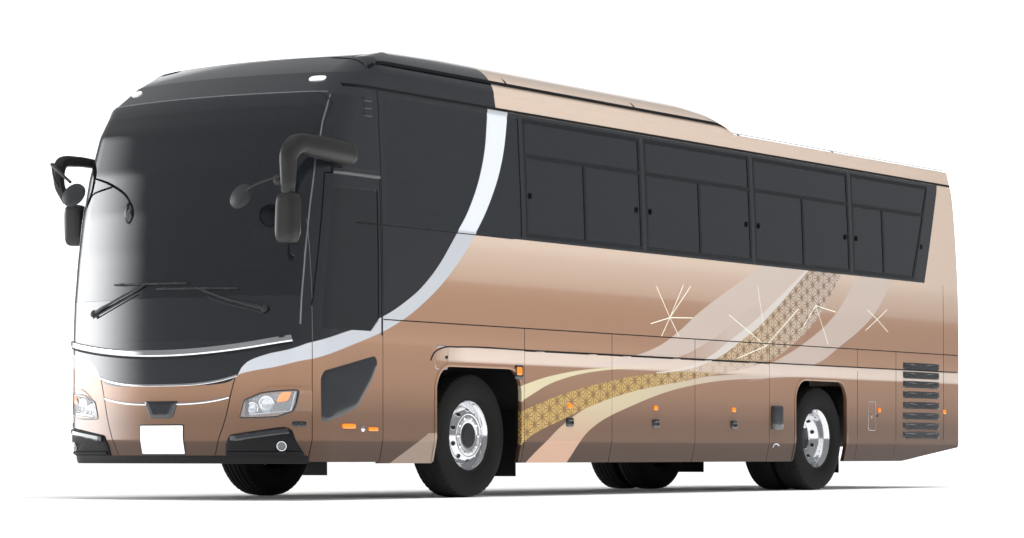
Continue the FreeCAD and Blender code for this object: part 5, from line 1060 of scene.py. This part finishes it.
black_parts_and_strip_shadow, white = [], []
for side, _ in SIDES:
    flip = np.array((side, 1))
    black_parts_and_strip_shadow += [bead(nose, smooth_path(FLAP_CUT * flip, 30), .008, .0012),
              plate(nose, FOG_CORNER * flip, .02, .03, .014),
              bead(nose, line((.610 * side, .372), (1.150 * side, .372)), .028, .024, 0)]
    bowls.append(bead(nose, line((.650 * side, .482), (1.095 * side, .540)), .045, .026, 0))
    rim, lens = socket(1.045 * side, .425, .012, (
        ((.010, -.010), (.026, -.006), (.034, .008), (.038, .008), (.038, -.01)), 28), (
        ((.004, .008), (.020, .007), (.034, .002), (.034, -.004)), 28))
    bright.append(rim)
    clear.append(lens)
    white.append(pad(nose, (.93 * side, 3.312), (.062, .017), .014, 4))
lines = []
for extent, low, rise, high in ((.700, .897, .071, .0075), (.630, .750, .050, .0060)):
    y = np.linspace(-extent, extent, 90)
    lines.append(bead(nose, np.stack([y, low + rise * np.abs(y / extent) ** 3.2], 1), .017, high))
y = np.linspace(-STRIP_HALF, STRIP_HALF, 120)
strip = np.stack([y, strip_z(y)], 1)
lip = line((-1.168, .318), (1.168, .318), 160)
# The first bead, a dark band just below the chromed strip, is the strip's painted shadow; the second is the real lip at
# the foot of the nose.
black_parts_and_strip_shadow += [bead(nose, strip - (0, .030), .030, .012), bead(nose, lip, .060, .006, .004)]
knurls = [bead(nose, line((y * side, strip_z(y) - .012), (y * side, strip_z(y) + .012), 6), .004, .0235)
          for side, _ in SIDES for y in np.linspace(KNURL_START, KNURL_END, 34)]
add_piece("lamp_bowls", bowls, "dark_gloss")
add_piece("lamp_reflectors", bright, "chrome")
add_piece("lamp_lenses", clear, "clear_lens", stands_for="lamps")
add_piece("nose_bright_lines", lines, "chrome")
add_piece("nose_black_parts_and_strip_shadow", black_parts_and_strip_shadow, "rubber")
add_piece("nose_chrome_strip", [bead(nose, strip, .050, .0215, .006)], "chrome", stands_for="front_strip")
add_piece("nose_strip_knurls", knurls, "satin_chrome")
add_piece("clearance_lamps", white, "white_lens")
PLINTH = ((-.170, .774), (.170, .774), (.112, .640), (-.112, .640))
add_piece("nose_plinth", [plate(nose, PLINTH, .02, .02, .012)], "dark_gloss")
add_piece("front_plate_bracket", [plate(nose, rectangle(-.225, .225, .352, .592), .012, .03, .004)], "plastic")
add_piece("plate_bolts", [pad(face, (y, z), (.009, .009), high, 2) for face, z, high in (
    (nose, .555, .013), (tail, .690, .0038)) for y in (-.150, .150)], "chrome")
add_piece("blank_number_plates", [plate(nose, rectangle(-.215, .215, .362, .582), .010, .03, .009),
                                  plate(tail, rectangle(-.215, .215, .495, .715), .010, .03, .0026)], "plate")
print("nose dressed, with", len(knurls), "knurls")

# %% [markdown]
# Most fittings on the flanks repeat from bay to bay, and the flaps carry some of them along when they open. Each
# fitting is a pad on the skin, told which body it belongs to, so the joints stay right.

# %% Flank fittings
FILLER, HATCH = (3.775, 3.952, 1.055, 1.240), (-3.965, -3.800, .605, .900)
LOUVRE, VENT = (-5.470, -4.600), (4.765, 4.872)
SLAT = ((0, .5), (.90, .5), (.97, 1), (1, .4), (1, -1))
WINDOWS = ((.697, 2.559), (-1.334, .565), (-3.389, -1.466), (-5.138, -3.521))
ARCH_CORNER = .210


def arch(middle, half, high):
    """The path of a wheel arch: up, round a corner, across, round the other corner and down."""
    t = np.linspace(0, np.pi / 2, 14)[:, None]
    bend = np.hstack([np.cos(t), np.sin(t)]) * ARCH_CORNER
    inner, top = half - ARCH_CORNER, high - ARCH_CORNER
    return np.concatenate([
        line((middle + half, .30), (middle + half, top - .01), 10), (middle + inner, top) + bend,
        line((middle + inner - .03, high), (middle - inner + .03, high), 8),
        (middle - inner, top) + (bend * (-1, 1))[::-1],
        line((middle - half, top - .01), (middle - half, .30), 10)])


for face, (side, word) in zip((left, right), SIDES):
    for index, x in enumerate((1.919, .463, -.980)):
        name, flap = "_%s_%d" % (word, index + 1), "luggage_flap_%s_%d" % (word, index + 1)
        pull = [pad(face, (x, .637), (.058, .040), .012, 7), pad(face, (x + .012, .659), (.040, .012), .030, 5),
                pad(face, (x - .034, .627), (.012, .012), .022, 2)]
        add_piece("handle" + name, pull, "dark_gloss", flap)
        # The amber finish glows a little; on these reflectors, which are no lamps, that glow is painted light.
        add_piece("reflector" + name, [pad(face, (x, .778), (.034, .022), .012, 6)], "amber", flap)
    add_piece("side_ambers_" + word, [pad(face, (-4.045, .812), (.022, .024), .012, 4),
                                      pad(face, (-5.60, .812), (.030, .024), .012)], "amber")
    add_piece("lid_outlines_" + word, [
        bead(face, rounded(rectangle(*HATCH), .03, 5), .010, .003, closed=True),
        pad(face, (-3.865, .750), (.010, .022), .010, 4),
        bead(face, rounded(rectangle(*FILLER), .035, 6), .010, .003, closed=True)], "satin_chrome")
    blacks = [pad(face, (2.722, 1.052), (.062, .062), .012, 9), pad(face, (-1.830, .712), (.108, .118), .030, 9),
              pad(face, (3.800, 1.150), (.012, .014), .014, 2), pad(face, (-4.00, .750), (.012, .016), .008, 4)]
    for z in (1.285, 1.190, 1.093, .984, .872, .760, .653, .558):
        blacks.append(plate(face, rectangle(*LOUVRE, z - .037, z + .037), .02, .06, .005, profile=SLAT))
        blacks += [bead(face, line((-5.450, z + lift), (-4.620, z + lift)), .010, .007) for lift in (-.018, .004, .026)]
    blacks += [plate(face, rectangle(*VENT, z - .019, z + .019), .008, .03, .006, 3) for z in (3.045, 3.105, 3.165)]
    add_piece("flank_blacks_" + word, blacks, "dark_gloss")
    add_piece("wing_lamp_" + word, [pad(face, (2.728, 1.062), (.040, .036), .020, 6)], "amber")
    latch = smooth_path([(-1.760, .425), (-1.775, .452), (-1.830, .458), (-1.885, .440)], 18)
    add_piece("flank_latch_" + word, [bead(face, latch, .014, .012)], "chrome")
    add_piece("arch_lips_" + word, [bead(face, arch(*place), .030, .008, .012) for place in (
        (X_AXLE, .640, 1.090), (X_DRIVE, .555, 1.100))], "paint")
    sashes = [pad(face, (x, 2.560), (.010, .026), .012, 3) for low, high in WINDOWS for x in (low + .06, high - .05)]
    add_piece("sash_latches_" + word, sashes, "rubber")
print("flanks dressed, with", len(sashes), "sash latches each")

# %% [markdown]
# The entrance leaf has its own window, lamps and lock, and they have to leave with it. So they ride on the leaf's
# body. The CAD pane is wider than the window in the photograph, and a painted collar covers what is too much.

# %% Entrance leaf
CAD_PANE = ((X_AXLE + 2.083, .604), (X_AXLE + 2.146, .800), (X_AXLE + 2.050, 1.092), (X_AXLE + 1.462, 1.187),
            (X_AXLE + 1.430, 1.1325), (X_AXLE + 1.590, .795), (X_AXLE + 1.748, .698))
LIGHT = rounded(((5.473, .946), (5.439, 1.005), (4.782, 1.137), (4.748, 1.082), (4.816, .959), (5.019, .725),
                 (5.236, .653), (5.465, .598)), .05, 5)
LEAF = "entrance_leaf"
add_piece("door_window_surround", [collar(left, LIGHT, rounded(CAD_PANE, .002, 3), 1, .003)], "paint", LEAF)
add_piece("door_window_border", [shield(left, dense(LIGHT, .04), .004, sink=.001)], "dark_gloss", LEAF)
lamps = [pad(left, (5.135, .578), (.085, .020), .016), pad(left, (4.812, .556), (.062, .016), .014)]
add_piece("door_ambers", lamps, "amber", LEAF)
lock = [pad(left, (4.950, .560), half, high, 2) for half, high in (((.024, .026), .010), ((.010, .012), .014))]
add_piece("door_lock", lock, "chrome", LEAF)
ledge = [bead(left, line((4.700, 2.570), (5.300, 2.570)), .060, .016),
         bead(left, line((4.690, 2.545), (4.690, 1.30)), .014, .006)]
add_piece("door_ledge", ledge, "dark_gloss")
print("entrance leaf dressed")

# %% [markdown]
# The tail isn't in the photograph, so it gets what the class usually has: lamp columns, low reflectors, two high
# lamps and a louvred lid. The louvres and the handle ride on the lid.

# %% Tail fittings
frames, reds, ambers, whites, louvres = [], [], [], [], []
LAMP_LIFT, LAMP_X = .0038, 1.118
for side, _ in SIDES:
    frames.append(pad(tail, (LAMP_X * side, 1.230), (.062, .330), .0012, 8))
    for z, half, lamps in ((1.450, .075, reds), (1.000, .055, reds), (1.285, .070, ambers), (1.135, .060, whites)):
        lamps.append(pad(tail, (LAMP_X * side, z), (.048, half), LAMP_LIFT))
    # The second red pad is a low reflector, so the red finish's glow on it is painted light.
    reds += [pad(tail, (.86 * side, 3.245), (.070, .020), .012), pad(tail, (.80 * side, .560), (.085, .024), .0035, 6)]
    louvres += [bead(tail, line((.20 * side, z), (.80 * side, z)), .022, .0030) for z in np.linspace(.80, 1.16, 9)]
add_piece("tail_reds", reds, "red")
add_piece("tail_ambers", ambers, "amber")
add_piece("tail_whites", whites, "white_lens")
add_piece("tail_lamp_frames", frames, "dark_gloss")
add_piece("engine_lid_louvres", louvres, "rubber", "engine_flap")
add_piece("engine_lid_handle", [pad(tail, (0, 1.290), (.090, .026), LAMP_LIFT, 6)], "dark_gloss", "engine_flap")
print("tail dressed, with", len(louvres), "louvres")

# %% [markdown]
# A mirror arm could be a plain bar. The real ones are moulded housings whose width changes along the way, so each is
# a swept superellipse with its own radius at every step. The heads are closed forms that grow from flat rings.

# %% Mirrors
def ovoid(middle, half, power=4.0, rows=22, count=36, tilt=0.0, lean=0.0):
    """A closed cushion-like form: |x|^p + |y|^p + |z|^p = 1 by rings of latitude, then turned and leaned."""
    v = np.linspace(-np.pi / 2, np.pi / 2, rows)[1:-1, None]
    size = (np.abs(np.cos(v)) ** power + np.abs(np.sin(v)) ** power) ** (-1 / power)
    a, b = superellipse(count, power)
    ring, c, s = np.cos(v) * size, math.cos(tilt), math.sin(tilt)
    local = stack(ring * a * half[0], ring * b * half[1], np.sin(v) * size * half[2])
    local = local @ np.array(((c, s, 0), (-s, c, 0), (0, 0, 1)))
    local[..., 0] += local[..., 2] * lean
    return tube(local + np.array(middle, float))


def tapered(count, *pairs):
    """A radius for each of count steps, from (share of the way, radius) pairs."""
    return np.interp(np.linspace(0, 1, count), *zip(*pairs))


def rod(points, radius, count):
    """A thin round bar through the points."""
    return sweep(smooth_path(points, count), radius, count=10)


ROUND_HEAD = ((.02, -.030), (.085, -.022), (.103, -.006), (.105, .006), (.098, .010))
ROUND_GLASS = ((.004, .020), (.05, .017), (.085, .012), (.096, .008), (.096, 0))
LEFT_ARM = ((5.150, 1.262, 2.700), (5.420, 1.300, 2.705), (5.720, 1.318, 2.712), (5.900, 1.322, 2.705),
            (5.985, 1.322, 2.630), (5.998, 1.322, 2.500), (5.998, 1.322, 2.380), (5.995, 1.320, 2.300))
RIGHT_ARM = ((5.230, -1.255, 2.742), (5.420, -1.320, 2.755), (5.560, -1.345, 2.735), (5.600, -1.340, 2.560),
             (5.520, -1.330, 2.420))
thick = tapered(60, (0, .080), (.04, .088), (.45, .084), (.60, .076), (.75, .060), (.92, .050), (1, .034))
foot = smooth_path(((5.145, 1.195, 2.690), (5.150, 1.230, 2.695), (5.170, 1.285, 2.700)), 12)
housings = [sweep(smooth_path(LEFT_ARM, 60), thick, 1.0, 28, 3.4, up=(0, 1, 0)),
            sweep(smooth_path(RIGHT_ARM, 44), tapered(44, (0, .036), (.5, .048), (1, .032)), 1.0, 22, 3.0,
                  up=(0, 1, 0)),
            ovoid((5.998, 1.320, 2.145), (.064, .092, .192), 5.0, lean=-.04),
            ovoid((5.925, 1.215, 2.440), (.058, .070, .048), 3.0, tilt=.4),
            ovoid((5.420, -1.322, 2.232), (.062, .090, .168), 5.0, lean=.03)]
glasses = [ovoid((5.942, 1.320, 2.150), (.006, .078, .165), 5.0),
           ovoid((5.362, -1.322, 2.232), (.006, .076, .145), 5.0),
           ovoid((5.880, 1.205, 2.436), (.010, .056, .036), 3.0, tilt=.4)]
stays = [sweep(foot, .050, 1.0, 20, 3.0), ovoid((5.998, 1.320, 2.352), (.038, .052, .020), 3.0),
         rod(((5.985, 1.270, 2.470), (5.990, 1.120, 2.440), (5.998, .960, 2.390), (5.998, .885, 2.340)), .0085, 24),
         rod(((5.560, -1.335, 2.700), (5.800, -1.240, 2.700), (5.960, -1.050, 2.640), (6.000, -.860, 2.520)), .012, 30),
         rod(((5.560, -1.335, 2.480), (5.700, -1.300, 2.590), (5.840, -1.200, 2.680)), .009, 16)]
for middle, out in (((5.990, .862, 2.330), (-.90, .05, -.42)), ((5.985, -.840, 2.420), (-.88, -.1, -.45))):
    stays.append(lathe(ROUND_HEAD, middle, out, 44))
    glasses.append(lathe(ROUND_GLASS, middle, out, 44))
add_piece("mirror_housings", housings, "mirror_shell", smooth=50, stands_for="mirrors")
add_piece("mirror_glasses", glasses, "chrome", smooth=50)
add_piece("mirror_stays", stays, "plastic", smooth=40)
print(len(glasses), "mirror glasses")

# %% [markdown]
# A wiper has to follow the curved screen. Its arm and blade are drawn in the nose's two coordinates and lifted off
# it, so they lie at the same height all along.

# %% Wipers
PIVOT = ((.006, -.01), (.028, -.008), (.030, .010), (.020, .016), (.006, .018))
arms = []
for pivot, knee, low, high in (((.920, 1.478), (.60, 1.560), (.700, 1.638), (-.060, 1.652)),
                               ((-.770, 1.478), (-.420, 1.600), (.240, 1.688), (-.530, 1.700))):
    middle = ((low[0] + high[0]) / 2, (low[1] + high[1]) / 2 + .010)
    y, z = smooth_path([pivot, knee, middle], 30).T
    arm = nose.at(y, z, tapered(30, (0, .016), (.2, .030), (.8, .034), (1, .022)) - .006)
    wide = tapered(30, (0, .017), (.12, .017), (.3, .010), (1, .007))
    span = line(low, high, 40).T
    arms += [sweep(arm, wide, .6, 12, 3.0, up=(1, 0, 0)), lathe(PIVOT, nose.at(*pivot, .012), (1, 0, .3), 24),
             sweep(nose.at(y[:24], z[:24] - .035, .020), .0055, 1.0, 10, up=(1, 0, 0)),
             sweep(nose.at(*span, .010), .0075, 1.3, 10, 3.0, up=(1, 0, 0))]
    arms += [ovoid(nose.at(low[0] + (high[0] - low[0]) * share, low[1] + (high[1] - low[1]) * share, .016),
                   (.010, .030, .010), 3.0, 10, 16) for share in (.12, .37, .63, .88)]
add_piece("wiper_arms", arms, "plastic", smooth=45, stands_for="wipers")
print("wipers made of", len(arms), "parts")

# %% [markdown]
# A seat pad is foam pulled tight over a frame: full in the middle, thin at its edge, with a channel where it is
# stitched down. A simulated cloth would give the same through dark glass at far more cost, so each pad is a rounded
# form whose thickness swells with the distance from its edge and from its seams.

# %% Seat pads
def pad_form(low, high, seats=2, channels=4, rows=26, columns=44, upright=False, lean=0.0):
    """An upholstered pad: two skins over a grid of u (across) and v (along), whose thickness is
    (1 - |u|^6)^0.35 (1 - |v|^8)^0.35, less a dip at the seam between seats and at each stitched channel."""
    middle, half = (np.array(low) + high) / 2, (np.array(high) - low) / 2
    u, v = np.meshgrid(np.linspace(-1, 1, columns), np.linspace(-1, 1, rows), indexing="ij")
    full = (np.clip(1 - np.abs(u) ** 6, 0, 1) * np.clip(1 - np.abs(v) ** 8, 0, 1)) ** .35
    side = np.abs(u)
    if seats == 2:
        full = full * (1 - .75 * hump(u, 0, .035))
        side = np.abs(side - .5) * 2
    stitch = 1 - .13 * np.exp(-(np.sin(np.pi * channels * (v + 1) / 2) / .22) ** 2) * (side < .72)
    top = np.clip(full * stitch * (1 + .16 * np.clip(side - .55, 0, 1)), 0, 1)
    across = middle[1] + u * half[1]
    if upright:
        z = middle[2] + v * half[2]
        slant = middle[0] - (z - low[2]) * lean
        skins = stack(slant + half[0] * top, across, z), stack(slant - half[0] * full * .9, across, z)
    else:
        x = middle[0] + v * half[0]
        skins = stack(x, across, middle[2] + half[2] * top), stack(x, across, middle[2] - half[2] * full * .85)
    return joined([(skins[0], cells(columns, rows)), (skins[1], cells(columns, rows)[:, ::-1])])


def add_pad(name, *args, **settings):
    """A padded piece in seat cloth."""
    piece = add_piece(name, [pad_form(*args, **settings)], "cloth", smooth=60)


HEADREST = {"seats": 1, "channels": 1, "rows": 14, "columns": 20, "upright": True, "lean": .06}
print("a seat pad has", len(pad_form((0, 0, 0), (1, 1, 1))[0]), "points")

# %% [markdown]
# Eleven rows of double seats stand at an even pitch on each side of the aisle. One loop places them, and gathers
# their frames, legs and arm rests into a single hard piece that stands for the CAD seats.

# %% Seats
FIRST_ROW, PITCH, ROWS, AISLE, WALL = 3.055, .790, 11, .190, 1.070
trims = [block((4.66, -.82, .905), (5.02, -.48, 1.00)), block((4.74, -.74, 1.00), (4.94, -.56, 1.26))]
for row in range(ROWS):
    x0 = FIRST_ROW - PITCH * row
    for side, word in SIDES:
        y0, y1 = sorted((AISLE * side, WALL * side))
        name = "%s_row_%02d" % (word, row + 1)
        add_pad("cushion_" + name, (x0 + .150, y0, 1.700), (x0 + .670, y1, 1.835))
        add_pad("back_" + name, (x0 + .100, y0 + .01, 1.790), (x0 + .235, y1 - .01, 2.330), upright=True, lean=.16)
        for part, share in enumerate((.25, .75)):
            y = y0 + (y1 - y0) * share
            add_pad("headrest_%s_%d" % (name, part + 1), (x0 + .012, y - .150, 2.335), (x0 + .110, y + .150, 2.475),
                    **HEADREST)
        trims += [block((x0 + .060, y0 + .03, 1.660), (x0 + .655, y1 - .03, 1.715)),
                  block((x0 + .045, y0 + .03, 1.72), (x0 + .085, y1 - .03, 2.20))]
        trims += [block((x0 + .20, y - .02, 1.400), (x0 + .56, y + .02, 1.665)) for y in (y0 + .12, y1 - .12)]
        trims += [block((x0 + .16, y - .022, 1.930), (x0 + .52, y + .022, 1.965)) for y in (y0 + .012, y1 - .012)]
add_pad("driver_cushion", (4.600, -.890, 1.255), (5.090, -.410, 1.380), seats=1)
add_pad("driver_back", (4.520, -.880, 1.350), (4.670, -.420, 1.850), seats=1, upright=True, lean=.12)
add_pad("driver_headrest", (4.462, -.780, 1.850), (4.560, -.520, 1.975), **HEADREST)
add_piece("seat_frames", trims, "seat_trim", smooth=30, stands_for="seats")
print(ROWS * 2, "double seats and the driver's")

# %% [markdown]
# Little shows through the dark glass, so the cabin only needs what catches light there: the parcel racks with their
# rails, and the hood over the instruments.

# %% Inside fittings
racks = [block((-5.70, y0, 2.985), (4.10, y1, 3.060)) for y0, y1 in ((.62, 1.10), (-1.10, -.62))]
add_piece("parcel_racks", racks, "inner")
rails = [sweep(line((-5.70, y, 3.00), (4.10, y, 3.00), 30), .016, count=10) for y in (.615, -.615)]
post = smooth_path(((4.62, .16, 1.05), (4.62, .16, 1.75), (4.50, .16, 1.85), (4.20, .16, 1.86)), 24)
add_piece("hand_rails", rails + [sweep(post, .016, count=12)], "satin_chrome")
add_piece("instrument_hood", [ovoid((5.330, -.650, 1.500), (.150, .340, .085), lean=-.2)], "plastic", smooth=50)
print("racks, rails and instrument hood made")

# %% [markdown]
# The studio is a pale floor that runs out into white. The flank and the nose are almost mirrors, so what they show
# is the world around them: an even room, with a bright wall on the coach's right for the far side of the windscreen.
# Straight behind the coach, as the camera sees it, the world turns white. The lamps only light the form. They are
# hidden from reflections, where their hard edges would show.

# %% Studio
def floor_finish(place):
    """Pale grey, a little uneven."""
    cloud = place.noise(.6, 2.0)
    return {"Base Color": cloud.blend((.86, .86, .86), (.90, .90, .90)), "Roughness": .65 + cloud * .1}


bpy.ops.mesh.primitive_plane_add(size=400, location=(0, 0, -.001))
ground = bpy.context.object
ground.name = "studio_floor"
ground.data.materials.append(material("studio_floor", floor_finish))

world = bpy.data.worlds.new("studio")
bpy.context.scene.world = world
world.use_nodes = True
BEHIND, BESIDE = (-.833, -.553), (.208, -.978)  # level directions: away from the camera, to the coach's right
x, y, up = Wire(world.node_tree).node("ShaderNodeTexCoord", {}, {}, "Generated").parts()
backdrop = (x * BEHIND[0] + y * BEHIND[1]).over(.93, .07)
beside = (x * BESIDE[0] + y * BESIDE[1]).over(.90, .16)
glow = beside * beside * (up.over(-.10, .2) & up.under(.45, .3)) * 7.2
room = up.curve(((-.2, .28), (0.0, .26), (.2, .26), (.5, .27), (1.0, .30)))
light = (room | glow) | backdrop * 1.6
shade = world.node_tree.nodes["Background"]
shade.inputs["Color"].default_value = (.97, .985, 1.0, 1.0)
world.node_tree.links.new(light.socket, shade.inputs["Strength"])


def lamp(name, kind, energy, place=(0, 0, 0), aim=(0, 0, -1), **settings):
    """A lamp that looks at a point and doesn't show in reflections."""
    data = bpy.data.lights.new(name, kind)
    data.energy = energy
    for key, value in settings.items():
        setattr(data, key, value)
    made = link(name, data)
    made.location = place
    made.rotation_euler = (Vector(aim) - Vector(place)).to_track_quat("-Z", "Y").to_euler()
    made.visible_glossy = False
    return made


ceiling = lamp("ceiling", "SUN", 3.0, angle=.6)
ceiling.rotation_euler = (math.radians(-14), math.radians(4), 0)
lamp("flank_lamp", "AREA", 1500, (2, 16, 6), (0, 0, 1.6), shape="RECTANGLE", size=18, size_y=5)
lamp("nose_lamp", "AREA", 900, (17, -2, 5), (5, 0, 1.6), shape="RECTANGLE", size=7, size_y=5)
print("studio lit")

# %% [markdown]
# The camera stands where the photographer did: low, about 28 m ahead and to the left. It looks level, as the
# photograph's uprights are parallel, and the picture is shifted instead of tilted.

# %% Camera
FRAME_WIDTH, FOCAL_PIXELS, SENSOR = 1024, 3012.4, 36.0
eye = bpy.data.cameras.new("eye")
camera = link("eye", eye)
bpy.context.scene.camera = camera
camera.location = (24.017, 15.299, .366)
camera.rotation_euler = (math.pi / 2, 0, math.pi / 2 + math.radians(33.551))
eye.sensor_width, eye.lens = SENSOR, FOCAL_PIXELS / FRAME_WIDTH * SENSOR
eye.shift_y = .180
eye.clip_start, eye.clip_end = .5, 500.0
bpy.context.scene.view_settings.view_transform = "Standard"
print("lens", round(eye.lens, 1), "mm")
